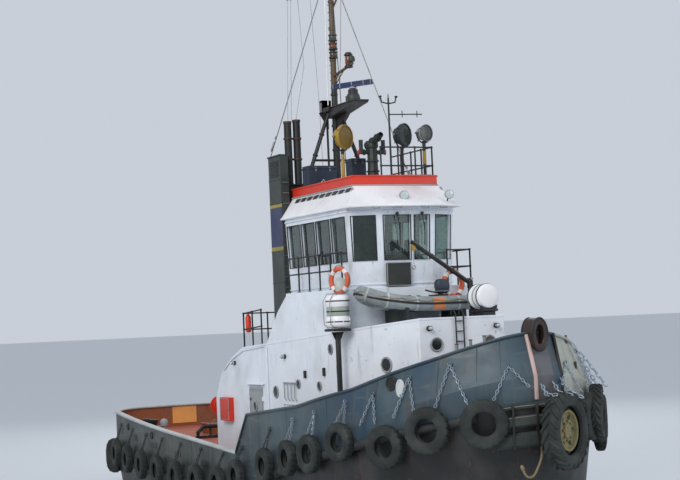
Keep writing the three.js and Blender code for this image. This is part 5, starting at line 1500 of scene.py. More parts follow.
boat.use("fabric").tube(cone, [0.07] + [DINGHY_R] * (len(cone) - 2) + [0.07], 24)
for k in range(2, len(cone) - 2, 2):
    a, b = cone[k], cone[k] + (cone[k + 1] - cone[k]).normalized() * 0.05
    boat.use("fabric_light").tube([a, b], DINGHY_R + 0.004, 24)
outer = []
for k, p in enumerate(cone[1:-1]):
    out = Vector((p.x - DINGHY_X, min(0.0, p.y - DINGHY_Y + 0.8) * 0.6, 0))
    out = out.normalized() if out.length > 0.01 else Vector((0, -1, 0))
    outer.append(p + out * DINGHY_R)
boat.use("black").tube(outer, 0.03, 8)
line = []
for k in range(len(outer) - 1):
    for q in range(4):
        t = q / 4
        line.append(outer[k].lerp(outer[k + 1], t) + upward(0.1 - 0.045 * math.sin(math.pi * t)))
boat.use("rope").tube(line, 0.011, 6)
for x in (-1, 1):
    boat.use("black")
    for y in (-0.55, 0.25, 0.9):
        top = Vector((DINGHY_X + x * 0.5, DINGHY_Y + y, DINGHY_Z + DINGHY_R))
        boat.tube([top + Vector((0, -0.09, -0.01)), top + Vector((0, -0.05, 0.035)),
                   top + Vector((0, 0.05, 0.035)), top + Vector((0, 0.09, -0.01))], 0.012, 6)
boat.use("grey").slab([(5.72, 0.5, 5.62), (5.72, -0.6, 5.62), (6.2, -1.4, 5.62), (6.68, -0.6, 5.62),
                       (6.68, 0.5, 5.62)], (0, 0, 0.08))
boat.use("brown").slab(rect((5.7, 0.45, 5.62), (6.7, 0.45, 5.96)), (0, 0.05, 0))
for y in (-0.75, 0.1):
    boat.use("brown").slab(rect((5.75, y - 0.1, 5.84), (6.65, y + 0.1, 5.84)), (0, 0, 0.03))
boat.use("orange_patch")
patch = []
for y in (-0.02, 0.31):
    for k in range(9):
        a = math.radians(-50 + 12.5 * k)
        patch.append((DINGHY_X + 0.5 + 0.196 * math.cos(a), y, DINGHY_Z + 0.196 * math.sin(a)))
boat.faces(patch, [(k, k + 1, k + 10, k + 9) for k in range(8)])
boat.done(replaces=["dinghy"], sharp=50)

MOTOR_X = 6.2
motor = Piece("outboard_motor", "blue_black", "black", "steel", "grey")
motor.use("blue_black")
COWL = [
    # height, half width, aft y, forward y
    (5.975, 0.085, 0.48, 0.70), (6.02, 0.12, 0.42, 0.77), (6.16, 0.13, 0.39, 0.79), (6.28, 0.125, 0.40, 0.78),
    (6.34, 0.10, 0.44, 0.72), (6.36, 0.05, 0.5, 0.62),
]
cowl_points = []
for z, wide, y0, y1 in COWL:
    for k in range(16):
        a = 2 * math.pi * k / 16
        cx = math.copysign(abs(math.cos(a)) ** 0.6, math.cos(a))
        cy = math.copysign(abs(math.sin(a)) ** 0.6, math.sin(a))
        cowl_points.append((MOTOR_X + wide * cx, (y0 + y1) / 2 + (y1 - y0) / 2 * cy, z))
motor.faces(cowl_points, grid(len(COWL), 16, caps=True))
motor.use("grey").tube([(MOTOR_X + 0.124 * dx, 0.585 + 0.19 * dy, 6.04)
                        for dx, dy in ((-1, -0.9), (1, -0.9), (1, 0.9), (-1, 0.9))], 0.009, 6, closed=True)
motor.use("black").tube([(MOTOR_X, 0.57, 6.0), (MOTOR_X, 0.57, 5.75), (MOTOR_X, 0.57, 5.54)],
                        [0.05, 0.042, 0.035], 14)
motor.turned([(0.01, -0.06), (0.035, -0.03), (0.042, 0.05), (0.02, 0.1), (0.01, 0.12)],
             (MOTOR_X, 0.56, 5.56), (0, 1, 0), 16)
motor.tube([(MOTOR_X, 0.44, 6.0), (MOTOR_X, 0.3, 6.03), (MOTOR_X, 0.1, 6.08)], [0.02, 0.018, 0.024], 10)
motor.slab(rect((6.12, 0.51, 5.86), (6.28, 0.51, 5.99)), (0, 0.03, 0))
for k in range(3):
    a = k * 2 * math.pi / 3
    hub_at = Vector((MOTOR_X, 0.66, 5.56))
    tip = Vector((math.cos(a), 0.15, math.sin(a))) * 0.085
    wide = Vector((0.02, 0, 0.02))
    motor.use("steel").slab([hub_at, hub_at + tip + wide, hub_at + tip * 1.05, hub_at + tip - wide],
                            (0, 0.006, 0))
motor.done(replaces=["outboard"], sharp=40)

# Davit: the fall rides with the boom, the foot plate stays on the house top

davit = Piece("davit_fall", "black", "steel", "yellow")
head, heel = Vector((6.0, -0.15, 7.35)), Vector((6.0, 1.55, 6.22))
lift = head + Vector((0, 0.05, -0.06))
cheek = [lift + Vector((-0.03, y, z)) for y, z in ((-0.05, 0), (0.06, 0), (0.05, -0.17), (-0.04, -0.17))]
davit.use("yellow").slab(cheek, (0.06, 0, 0))
davit.use("steel").turned([(0.055, -0.02), (0.06, 0), (0.055, 0.02)], lift + upward(-0.08), (1, 0, 0), 20)
davit.tube([lift + upward(-0.16), lift + upward(-0.52)], 0.007, 6)
hook_at = lift + upward(-0.6)
davit.tube([hook_at + Vector((0, 0.05 * math.sin(a), 0.05 * math.cos(a)))
            for a in (k * math.pi / 8 for k in range(13))], 0.012, 8)
davit.tube([heel + (head - heel) * t + upward(0.075) for t in (0.02, 0.35, 0.7, 0.98)], 0.007, 6)
for t in (0.3, 0.66):
    davit.use("black").turned(collar(0.058, 0.07, 0.03, 0.025), heel + (head - heel) * t, head - heel, 16)
davit.use("steel").rod(heel + Vector((-0.12, 0, 0.12)), heel + Vector((0.12, 0, 0.12)), 0.035, sides=16)
davit.done(body="davit", sharp=40)

davit_base = Piece("davit_base", "black", "steel")
davit_base.use("black").turned([(0.17, 0.0), (0.17, 0.025), (0.08, 0.12)],
                               (6.0, 1.55, lookup(HOUSE_TOP, 6.0)), UP, 24)
davit_base.use("steel").bolts((6.0, 1.55, lookup(HOUSE_TOP, 6.0) + 0.025), UP, 0.14, 6, 0.016, 0.02)
davit_base.use("black").turned([(0.07, 0.0), (0.095, 0.01), (0.095, 0.04), (0.07, 0.05)],
                               (6.0, 1.55, 5.9), UP, 24)
davit_base.done(sharp=40)

# Funnel, casing and exhausts

stack = Piece("funnel_fittings", "green", "black", "steel", "brown")
FUNNEL_X0, FUNNEL_X1, FUNNEL_Y0, FUNNEL_Y1 = 0.08, 0.94, -1.63, -1.36
stack.use("green").tube(rect((FUNNEL_X0, FUNNEL_Y0, 10.19), (FUNNEL_X1, FUNNEL_Y1, 10.19)),
                        0.028, 8, closed=True)
for z in (5.6, 6.55, 7.45, 8.82, 9.5):
    stack.use("green").tube(rect((FUNNEL_X0, FUNNEL_Y0, z), (FUNNEL_X1, FUNNEL_Y1, z)), 0.011, 6, closed=True)
for k in range(7):
    z = 9.62 + 0.07 * k
    stack.use("black").slab([(0.2, FUNNEL_Y0, z), (0.82, FUNNEL_Y0, z), (0.82, FUNNEL_Y0 - 0.02, z - 0.03),
                             (0.2, FUNNEL_Y0 - 0.02, z - 0.03)], (0, 0, 0.014))
for k in range(15):
    z = 5.2 + 0.3 * k
    stack.use("steel").tube(rect((FUNNEL_X1, -1.58, z), (1.0, -1.4, z)), 0.011, 6)
CASING = [(-0.1, -1.33), (0.85, -1.33), (0.85, 0.7), (-0.1, 0.7)]
for z in (6.3, 7.7, 9.34):
    stack.use("black").tube([(x, y, z) for x, y in CASING], 0.022, 8, closed=True)
for k in range(9):
    z = 8.0 + 0.1 * k
    stack.use("steel").slab([(-0.1, -0.9, z), (-0.1, 0.3, z), (-0.15, 0.3, z - 0.05),
                             (-0.15, -0.9, z - 0.05)], (0, 0, 0.02))
stack.use("black").tube(rect((-0.13, -0.95, 7.9), (-0.13, 0.35, 8.9)), 0.02, 6, closed=True)
for x, y, top in ((0.62, -1.2, 11.2), (0.62, -0.92, 11.25)):
    for z in (9.36, 10.1, 10.7):
        stack.use("brown" if z > 9.5 else "black").turned(collar(0.11, 0.135, 0.03, 0.025), (x, y, z), UP, 24)
    stack.use("brown").turned([(0.111, -0.07), (0.122, -0.06), (0.122, 0.0), (0.095, 0.006), (0.09, -0.06)],
                              (x, y, top), UP, 24, closed=True)
stack.rod((0.3, 0.3, 9.35), (0.3, 0.3, 9.9), 0.06, sides=18)
stack.turned([(0.06, 0), (0.1, 0.03), (0.1, 0.07), (0.02, 0.1)], (0.3, 0.3, 9.86), UP, 18)
stack.done(sharp=40)


def spokes(piece, x, y, z, r, thick):
    """four bars across a handwheel that stands athwart"""
    for k in range(4):
        t = k * math.pi / 4
        dx, dz = r * math.cos(t), r * math.sin(t)
        piece.tube([(x - dx, y, z - dz), (x + dx, y, z + dz)], thick, 6)


# Searchlights: drum with cooling fins, glass and rim, yoke and handle; each rides with its own head

LIGHTS = [
    # node, x, y, z, radius, degrees to port of ahead, paint, front, body
    ("searchlight_aft", 3.75, -0.95, 10.36, 0.34, 28, "yellow", "ochre_cover", "light_aft"),
    ("searchlight_starboard", 4.62, 0.42, 10.32, 0.32, 30, "green", "green_lens", "light_starboard"),
    ("searchlight_port", 4.62, 1.1, 10.38, 0.23, 17, "grey", "grey_lens", "light_port"),
]
for node, x, y, z, r, degrees, material, front, body in LIGHTS:
    axis = heading(degrees)
    side = leftward(axis)
    at = Vector((x, y, z))
    light = Piece(node + "_drum", material, front, "black", "steel", "bulb")
    light.use(material).turned(
        [(0.02, -0.16), (r * 0.3, -0.158), (r * 0.58, -0.145), (r * 0.62, -0.12), (r * 0.8, -0.04),
         (r * 0.97, 0.04), (r, 0.07), (r, 0.13), (r * 0.975, 0.14), (r * 0.92, 0.14), (r * 0.91, 0.11),
         (r * 0.6, 0.0), (0.02, -0.03)], at, axis, 40)
    light.use(front).turned([(r * 0.905, 0.1), (r * 0.905, 0.112), (r * 0.6, 0.125), (0.01, 0.13)],
                            at, axis, 40)
    light.use("bulb").turned([(0.02, -0.02), (r * 0.2, 0.0), (r * 0.2, 0.05), (0.02, 0.08)], at, axis, 20)
    light.use("black").ring(at + axis * 0.125, axis, r * 0.955, 0.016, 40, 8)
    for h in (-0.13, -0.1, -0.07):
        k = (h + 0.16) / 0.2
        light.use(material).ring(at + axis * h, axis, r * (0.6 + 0.33 * k * 0.8), 0.013, 32, 6)
    for q in range(3):
        t = (q + 0.25) * 2 * math.pi / 3
        spot = at + spin(side, t) * r
        clip = panel(spot + axis * 0.0925, side * 0.015, axis * 0.0425)
        light.use("steel").slab(clip, (spot - at).normalized() * 0.02)
    arms = [at + spin(side, math.pi + k * math.pi / 12) * (r + 0.035) for k in range(13)]
    light.use("black").tube(arms, 0.02, 8)
    for way in (-1, 1):
        light.use("steel").rod(at + side * way * (r - 0.01), at + side * way * (r + 0.07), 0.03, sides=14)
    light.use("black").rod((x, y, z - r - 0.12 + 0.003), (x, y, z - r + 0.02), 0.048, sides=18)
    light.tube([at - axis * 0.15 + upward(-0.05), at - axis * 0.22 + upward(-0.08),
                at - axis * 0.22 + upward(-0.2)], 0.012, 6)
    light.done(body=body, replaces=[node], sharp=35)

gear = Piece("monitor_fittings", "green", "black", "steel", "red")
MONITOR_X, MONITOR_Y = 3.55, 0.05
gear.use("green").turned([(0.15, 0.006), (0.175, 0.012), (0.175, 0.05), (0.15, 0.06)],
                         (MONITOR_X, MONITOR_Y, 9.7), UP, 28)
gear.turned([(0.1, 0), (0.165, 0.02), (0.175, 0.08), (0.165, 0.14), (0.1, 0.17)],
            (MONITOR_X, MONITOR_Y, 10.08), UP, 28)
barrel = (Vector((0.72, 0, 0.22))).normalized()
for t, r in ((0.05, 0.14), (0.32, 0.125), (0.6, 0.105)):
    gear.turned(collar(r * 0.9, r * 1.1, 0.02, 0.015),
                Vector((MONITOR_X - 0.22, MONITOR_Y, 10.16)) + barrel * t, barrel, 24)
gear.use("black").turned([(0.06, 0.0), (0.09, 0.0), (0.075, 0.1), (0.05, 0.1)],
                         Vector((MONITOR_X + 0.48, MONITOR_Y, 10.375)), barrel, 24, closed=True)
for way in (-1, 1):
    gear.use("steel").ring((MONITOR_X, MONITOR_Y + way * 0.34, 10.31), UP, 0.055, 0.012, 24, 6)
    gear.use("green").turned(collar(0.07, 0.085, 0.02, 0.015), (MONITOR_X, MONITOR_Y + way * 0.25, 9.98),
                             (0, 1, 0), 20)
    gear.use("red").ring((MONITOR_X - 0.02, MONITOR_Y + way * 0.4, 9.98), (0, 1, 0), 0.07, 0.01, 28, 6)
    spokes(gear, MONITOR_X - 0.02, MONITOR_Y + way * 0.4, 9.98, 0.07, 0.008)
gear.done(body="monitor", sharp=40)

stand = Piece("roof_gear_fittings", "black", "steel", "pale", "blue_black", "white", "yellow")
POSTS = [(row[1], row[2], 0.045) for row in LIGHTS] + [(MONITOR_X, MONITOR_Y, 0.18)]
for x, y, r in POSTS:
    stand.use("black").turned([(r + 0.09, 0.0), (r + 0.09, 0.02), (r + 0.01, 0.06)], (x, y, ROOF_Z), UP, 24)
    stand.use("steel").bolts((x, y, ROOF_Z + 0.02), UP, r + 0.06, 6, 0.012, 0.016)
# ochre paint on the posts of the after and port lights
for x, y, low, high in ((3.75, -0.95, 0.08, 0.96), (4.62, 1.1, 0.62, 0.96)):
    stand.use("yellow").turned([(0.044, low), (0.049, low + 0.01), (0.049, high), (0.044, high + 0.01)],
                               (x, y, ROOF_Z), UP, 20)
for z in (9.15, 9.45):
    stand.use("black").turned(collar(0.15, 0.185, 0.02, 0.015), (MONITOR_X, MONITOR_Y, z), UP, 28)
stand.use("pale").tube([(4.62, 0.42, 9.2), (4.5, 0.3, 8.98), (4.0, 0.2, 8.97), (3.7, 0.15, 8.97)], 0.014, 8)
stand.use("pale").tube([(3.75, -0.95, 9.4), (3.7, -0.85, 9.0), (3.5, -0.5, 8.97), (2.9, -0.1, 8.97),
                        (1.42, -0.12, 8.97)], 0.014, 8)
LOCKERS = [
    # low corner, high corner
    ((1.5, -1.18, 8.93), (1.95, -0.3, 9.78)),
    ((2.75, -0.4, 8.93), (3.15, 0.04, 9.86)),
]
for (x0, y0, z0), (x1, y1, z1) in LOCKERS:
    stand.use("blue_black").tube(rect((x0, y0, z1 - 0.08), (x1, y1, z1 - 0.08)), 0.022, 8, closed=True)
    for t in (0.25, 0.75):
        y = y0 + (y1 - y0) * t
        stand.use("steel").slab(rect((x1, y - 0.03, z1 - 0.16), (x1, y + 0.03, z1 - 0.04)), (0.012, 0, 0))
    stand.use("white").tube([(x1 + 0.02, y0 + 0.1, z0 + 0.1), (x1 + 0.03, (y0 + y1) / 2, z0 + 0.45),
                             (x1 + 0.02, y1 - 0.1, z0 + 0.1)], 0.01, 6)
stand.done(sharp=40)

# Mast gear: lamps, rungs, clamps, cables, radar gearbox, and the scanner's own parts

MAST_X, RADAR_X, RADAR_Z = 1.3, 2.6, 11.5
LEG_TOP_Z = 11.35
rig = Piece("mast_fittings", "mast", "black", "steel", "dark_lens", "amber", "bright", "green")


def pole_x(z):
    return MAST_X + 0.1 * (z - ROOF_Z) / 7.28


for z in (9.6, 10.3, 11.0, 11.9, 12.9, 13.8, 14.6, 15.3, 15.9):
    r = 0.1 - 0.04 * (z - ROOF_Z) / 7.28
    rig.use("mast").turned(collar(r, r + 0.02, 0.04, 0.03), (pole_x(z), 0, z), UP, 20)
for k in range(18):
    z = 11.9 + 0.22 * k
    rig.use("steel").tube([(pole_x(z) - 0.06, -0.02, z), (pole_x(z) - 0.2, -0.02, z),
                           (pole_x(z) - 0.2, 0.16, z), (pole_x(z) - 0.06, 0.12, z)], 0.01, 6)
for side in (-1, 1):
    for t in (0.25, 0.5, 0.75):
        y = side * (0.2 + 0.92 * t)
        z = LEG_TOP_Z - (LEG_TOP_Z - ROOF_Z - 0.02) * t
        way = Vector((0, side * 0.92, -(LEG_TOP_Z - ROOF_Z))).normalized()
        rig.use("mast").turned(collar(0.06, 0.078, 0.03, 0.02), (MAST_X, y, z), way, 18)
    rig.slab([(MAST_X, side * 0.2, 11.36), (MAST_X, side * 0.5, 11.36), (MAST_X, side * 0.2, 10.9)],
             (0.02, 0, 0))
    rig.turned([(0.13, 0.0), (0.13, 0.02), (0.065, 0.07)], (MAST_X, side * 1.1, ROOF_Z), UP, 20)
rig.use("mast").tube([(MAST_X, -0.72, 10.0), (MAST_X, 0.72, 10.0)], 0.035, 10)
LAMP_HIGH = 0.18
for z, glass in ((12.95, "dark_lens"), (13.2, "amber"), (13.45, "dark_lens")):
    at = (MAST_X + 0.1, 0, z)
    rig.use(glass).turned([(0.1, 0.04), (0.112, 0.06), (0.112, LAMP_HIGH - 0.05), (0.1, LAMP_HIGH - 0.03)],
                          at, UP, 24)
    rig.use("black").turned([(0.1, -0.01), (0.13, 0.0), (0.13, 0.035), (0.1, 0.045)], at, UP, 24)
    rig.turned([(0.1, LAMP_HIGH - 0.035), (0.13, LAMP_HIGH - 0.025), (0.125, LAMP_HIGH + 0.005),
                (0.03, LAMP_HIGH + 0.03)], at, UP, 24)
at = (MAST_X + 1.1, 0, 12.52)
rig.use("black").turned([(0.05, -0.02), (0.12, 0.0), (0.12, 0.05), (0.09, 0.07)], at, UP, 24)
rig.use("amber").turned([(0.09, 0.08), (0.1, 0.1), (0.1, 0.3), (0.09, 0.32)], at, UP, 24)
rig.use("black").turned([(0.09, 0.32), (0.125, 0.34), (0.12, 0.38), (0.04, 0.44)], at, UP, 24)
for t in (0.3, 0.6):
    x = MAST_X + 1.35 * t
    rig.use("mast").tube([(x, 0, 12.42 + 0.18 * t), (MAST_X + 0.05, 0, 12.1)], 0.016, 8)
rig.use("green").turned([(0.02, 0), (0.09, 0.02), (0.1, 0.09), (0.07, 0.17), (0.01, 0.2)],
                        (MAST_X + 1.3, 0, 12.64), UP, 22)
# block of the signal line, and the lamp at the truck
rig.use("steel").ring((MAST_X + 0.08, 0.34, 14.98), (1, 0, 0), 0.05, 0.01, 18, 6)
rig.use("bright").rod((MAST_X + 0.1, 0, 16.02), (MAST_X + 0.1, 0, 16.19), 0.085, 0.075, 20)
rig.use("black").turned([(0.07, 0), (0.1, 0.01), (0.1, 0.04), (0.07, 0.05)], (MAST_X + 0.1, 0, 15.98), UP, 20)
# radar gearbox, edge of its platform and bracket
rig.use("green").turned([(0.14, 0.0), (0.19, 0.01), (0.2, 0.09), (0.17, 0.2), (0.145, 0.22)],
                        (RADAR_X, 0, RADAR_Z + 0.03), UP, 28)
rig.use("green").slab([(RADAR_X - 0.3, -0.1, 11.53), (RADAR_X - 0.12, -0.12, 11.53),
                       (RADAR_X - 0.12, 0.12, 11.53), (RADAR_X - 0.3, 0.1, 11.53)], (0, 0, 0.18))
for y in (-0.225, 0.225):
    rig.use("mast").tube([(MAST_X, y, 11.5), (MAST_X + 1.8, y, 11.5)], 0.022, 8)
rig.tube([(MAST_X + 1.8, -0.22, 11.49), (MAST_X + 1.8, 0.22, 11.49)], 0.022, 8)
rig.use("steel").bolts((RADAR_X, 0, 11.52), UP, 0.2, 8, 0.013, 0.02)
rig.use("mast").slab([(MAST_X + 0.1, -0.01, 10.75), (MAST_X + 0.1, -0.01, 11.3),
                      (MAST_X + 0.9, -0.01, 11.36)], (0, 0.02, 0))
# horn, and the box on the after side
rig.use("green").turned([(0.03, 0.0), (0.035, 0.2), (0.06, 0.3), (0.11, 0.36), (0.1, 0.37), (0.02, 0.25)],
                        (MAST_X + 0.1, 0.3, 11.56), (1, 0.2, 0.05), 24)
rig.use("black").slab(rect((0.95, -0.3, 11.36), (1.14, -0.02, 11.36)), (0, 0, 0.4))
rig.use("steel").slab(rect((0.97, -0.302, 11.42), (1.12, -0.302, 11.7)), (0, -0.012, 0))
# pale pipe and cables down the mast
rig.use("bright").tube([(1.36, -0.17, 15.2), (1.3, -0.17, 13.2), (1.26, -0.17, 11.6)], 0.017, 8)
rig.use("black")
for y in (0.07, 0.1):
    rig.tube([(pole_x(15.6) - 0.02, y * 0.8, 15.6), (pole_x(13.5) - 0.03, y, 13.5),
              (MAST_X - 0.02, y + 0.02, 11.6), (MAST_X - 0.02, y + 0.03, 9.0)], 0.011, 6)
rig.done(sharp=40)

scan = Piece("scanner_parts", "blue", "grey", "black")
along = heading(30)
across = leftward(along)
centre = Vector((RADAR_X, 0, RADAR_Z + 0.36))
for way in (-1, 1):
    end = centre + along * (0.63 * way) + upward(0.15)
    scan.use("grey").slab(panel(end, across * 0.062, upward(0.068)), along * (0.018 * way))
scan.use("grey").turned([(0.07, 0.02), (0.11, 0.03), (0.11, 0.06), (0.075, 0.085)], centre, UP, 28)
scan.use("black").slab(panel(centre + across * 0.0605 + upward(0.15), along * 0.6, upward(0.04)),
                       across * 0.002)
for way in (-1, 1):
    for s in (-0.4, 0.0, 0.4):
        rib = centre + along * s + across * 0.061 * way + upward(0.15)
        scan.use("grey").slab(panel(rib, along * 0.012, upward(0.065)), across * 0.004 * way)
scan.done(body="radar", sharp=40)

# Rigging: wires and signal line down from the yard, the yard and its lift, and screws of the stays

wires = Piece("rigging_wires", "steel", "rope", "black", "bright")
WIRES = [
    # material, radius, points
    ("steel", 0.008, [(0.6, -1.02, 14.77), (0.62, -1.18, 11.24)]),
    ("steel", 0.008, [(0.6, -0.92, 14.77), (0.62, -1.07, 11.24)]),
    ("steel", 0.008, [(0.6, -0.70, 14.78), (0.6, -0.59, 12.81), (0.62, -0.92, 11.27)]),
    ("steel", 0.008, [(0.6, -0.30, 14.8), (0.7, -0.20, 11.85), (0.8, -0.2, 9.37)]),
    ("rope", 0.008, [(1.38, 0.34, 14.95), (1.35, 0.29, 13.72), (1.3, 0.22, 12.25), (1.25, 0.26, 9.2)]),
]
for material, r, path in WIRES:
    wires.use(material).tube(path, r, 6)
wires.use("black").tube([(1.38, 0, 14.8), (1.0, -0.55, 14.79), (0.6, -1.06, 14.77)], 0.02, 8)
wires.tube([(1.38, 0, 15.05), (0.6, -1.0, 14.79)], 0.007, 6)
SCREWS = [
    # foot, top: the lower ends of the stays
    ((4.9, 0.57, 8.97), (1.51, 0.0, 15.44)),
    ((0.2, -1.605, 10.25), (1.3, -0.077, 15.44)),
    ((-1.2, 1.7, 4.85), (1.3, 0.077, 15.44)),
]
for foot, top in SCREWS:
    foot, top = Vector(foot), Vector(top)
    way = (top - foot).normalized()
    wires.use("steel")
    wires.turned([(0.016, 0.12), (0.03, 0.14), (0.03, 0.4), (0.016, 0.42)], foot, way, 14)
    wires.turned([(0.016, 0.5), (0.022, 0.52), (0.022, 0.58), (0.016, 0.6)], foot, way, 12)
wires.done(sharp=40)

# Rope on drums


def wind(piece, x, z, r, half, turns, thick, way=1):
    """rope wound on a drum, its end led into the drum"""
    steps = turns * 14
    path = []
    for k in range(steps):
        a = 2 * math.pi * k / 14
        path.append((x + r * math.cos(a), way * (-half + 2 * half * k / steps), z + r * math.sin(a)))
    inner = Vector((x, path[-1][1], z))
    path.append(inner + (Vector(path[-1]) - inner) * 0.55)
    piece.use("rope").tube(path, thick, 6)


# Tow winch: rope and flange webs that turn with the drum, then gearbox, motor, stays and lever

WINCH_X, WINCH_Z = -5.3, 2.2
wound = Piece("tow_rope_wound", "rope", "steel", "black")
for r, turns, way in ((0.27, 24, 1), (0.32, 23, -1)):
    wind(wound, WINCH_X, WINCH_Z, r, 0.76, turns, 0.032, way)
for way in (-1, 1):
    wound.use("steel").ring((WINCH_X, way * 0.835, WINCH_Z), (0, 1, 0), 0.5, 0.022, 40, 8)
    for k in range(6):
        a = k * math.pi / 3
        out = Vector((math.cos(a), 0, math.sin(a)))
        spot = Vector((WINCH_X, way * 0.84, WINCH_Z))
        web = panel(spot + out * 0.3 + Vector((0, 0.001 * way, 0)), out * 0.18, Vector((0, 0.011 * way, 0)))
        wound.use("black").slab(web, out.cross(Vector((0, 1, 0))) * 0.02)
wound.done(body="tow_drum", sharp=40)

winch = Piece("tow_winch_fittings", "black", "green", "steel", "grey")
winch.use("green").turned([(0.05, 0), (0.26, 0.0), (0.28, 0.03), (0.28, 0.2), (0.24, 0.24), (0.05, 0.26)],
                          (WINCH_X, 1.005, WINCH_Z), (0, 1, 0), 32)
winch.turned([(0.12, 0), (0.14, 0.02), (0.14, 0.3), (0.1, 0.34), (0.03, 0.35)],
             (WINCH_X - 0.1, 1.24, WINCH_Z + 0.05), (0, 1, 0), 24)
winch.use("steel").bolts((WINCH_X, 1.245, WINCH_Z), (0, 1, 0), 0.22, 10, 0.014, 0.016)
winch.use("green").turned([(0.04, 0), (0.16, 0), (0.17, 0.02), (0.17, 0.08), (0.14, 0.1), (0.04, 0.11)],
                          (WINCH_X, -1.005, WINCH_Z), (0, -1, 0), 28)
winch.use("steel").bolts((WINCH_X, -1.1, WINCH_Z), (0, -1, 0), 0.13, 8, 0.014, 0.016)
for way in (-1, 1):
    for x in (-0.4, 0.4):
        winch.use("black").slab([(WINCH_X + x, way * 1.005, 1.62), (WINCH_X + x * 1.7, way * 1.005, 1.62),
                                 (WINCH_X + x, way * 1.005, 2.1)], (0, 0.02 * way, 0))
    winch.use("black").tube([(WINCH_X - 0.4, way * 0.95, 2.52), (WINCH_X + 0.4, way * 0.95, 2.52)], 0.035, 8)
winch.use("grey").tube([(WINCH_X + 0.55, -0.8, 1.6), (WINCH_X + 0.55, -0.8, 2.5), (WINCH_X + 0.5, -0.8, 2.6)],
                       0.018, 8)
winch.use("black").rod((WINCH_X + 0.5, -0.8, 2.6), (WINCH_X + 0.47, -0.8, 2.72), 0.03, sides=12)
winch.done(sharp=40)

hook = Piece("hook_fittings", "black", "steel", "brown", "grey")
hook.use("steel").turned([(0.062, 0.0), (0.1, 0.0), (0.11, 0.02), (0.11, 0.05), (0.06, 0.07), (0.02, 0.075)],
                         (-7.0, 0, 2.37), UP, 24)
hook.use("black").turned([(0.125, -0.02), (0.15, -0.02), (0.15, 0.02), (0.125, 0.03)],
                         (-7.0, 0, 2.12), UP, 28, closed=True)
hook.use("steel").bolts((-6.75, -0.305, 1.95), (0, -1, 0), 0.08, 4, 0.016, 0.018)
hook.use("steel").bolts((-6.75, 0.305, 1.95), (0, 1, 0), 0.08, 4, 0.016, 0.018)
for way in (-1, 1):
    for x in (-7.1, -6.7):
        hook.use("black").slab([(x, way * 0.3, 1.62), (x, way * 0.5, 1.62), (x, way * 0.3, 2.0)],
                               (0.025, 0, 0))
for y in (-1.25, -0.8, -0.4, 0.0, 0.4, 0.8, 1.25):
    z = 2.03 if abs(y) < 1.1 else 1.85
    hook.use("black").turned(collar(0.065, 0.085, 0.03, 0.02), (-7.92, y, z), (0, 1, 0), 18)
hook.done(sharp=40)

claw = Piece("hook_keeper", "brown", "steel")
claw.use("steel").turned([(0.02, 0), (0.045, 0.0), (0.045, 0.03), (0.02, 0.035)],
                         (-7.45, 0.01, 2.325), UP, 18)
claw.use("brown").slab([(-7.74, 0.1, 2.323), (-7.44, 0.05, 2.323), (-7.44, -0.02, 2.323),
                        (-7.74, 0.05, 2.323)], (0, 0, 0.018))
claw.done(body="hook", sharp=40)

# Deck gear: bitts with cross bars, hatch dogs, freeing ports, reel, vent heads, windlass gear

gear = Piece("deck_fittings", "black", "steel", "orange", "grey", "light_orange", "red", "chain", "deck")
BITTS = [
    # x, y, way along, way across
    (-9.6, -2.35, (0.35, 0)), (-9.6, 2.35, (0.35, 0)), (10.45, 0.0, (0, 0.42)),
]
for x, y, (dx, dy) in BITTS:
    deck = lookup(DECK_Z, x)
    for k in (-1, 1):
        px, py = x + k * dx, y + k * dy
        gear.use("black").turned([(0.11, 0.1), (0.135, 0.12), (0.112, 0.16), (0.112, 0.4), (0.15, 0.49),
                                  (0.158, 0.52), (0.158, 0.56), (0.14, 0.58), (0.02, 0.585)],
                                  (px, py, deck), UP, 28)
        cross = Vector((dy, dx, 0)).normalized() if dx else Vector((1, 0, 0))
        gear.use("steel").rod(Vector((px, py, deck + 0.33)) - cross * 0.26,
                              Vector((px, py, deck + 0.33)) + cross * 0.26, 0.028, sides=14)
# hatch coaming stiffeners and dogs round it
for k in range(5):
    x = -9.5 + 0.2 * k
    for way in (-1, 1):
        gear.use("orange").slab([(x, way * 0.5, 1.8), (x, way * 0.57, 1.8), (x, way * 0.5, 1.98)],
                                (0.02, 0, 0))
for y in (-0.35, 0.0, 0.35):
    gear.use("steel").rod((-9.62, y, 1.9), (-9.68, y, 1.9), 0.02, sides=10)
# freeing ports, on the inside and the outside
for side in (-1, 1):
    for x in (-10.4, -8.2, -5.8, -3.4, -1.0):
        place, normal = edge_on(x, side)
        centre = place + upward(lookup(DECK_Z, x) + 0.15)
        for out, thick in ((-0.086, -0.006), (0.004, 0.006)):
            port = panel(centre + normal * out, leftward(normal) * 0.3, upward(0.09))
            gear.use("black").slab(port, normal * thick)
# lighter panel on the inside of the stern bulwark
gear.use("light_orange").slab(rect((-12.215, -0.66, 1.95), (-12.215, 0.25, 2.54)), (0.012, 0, 0))
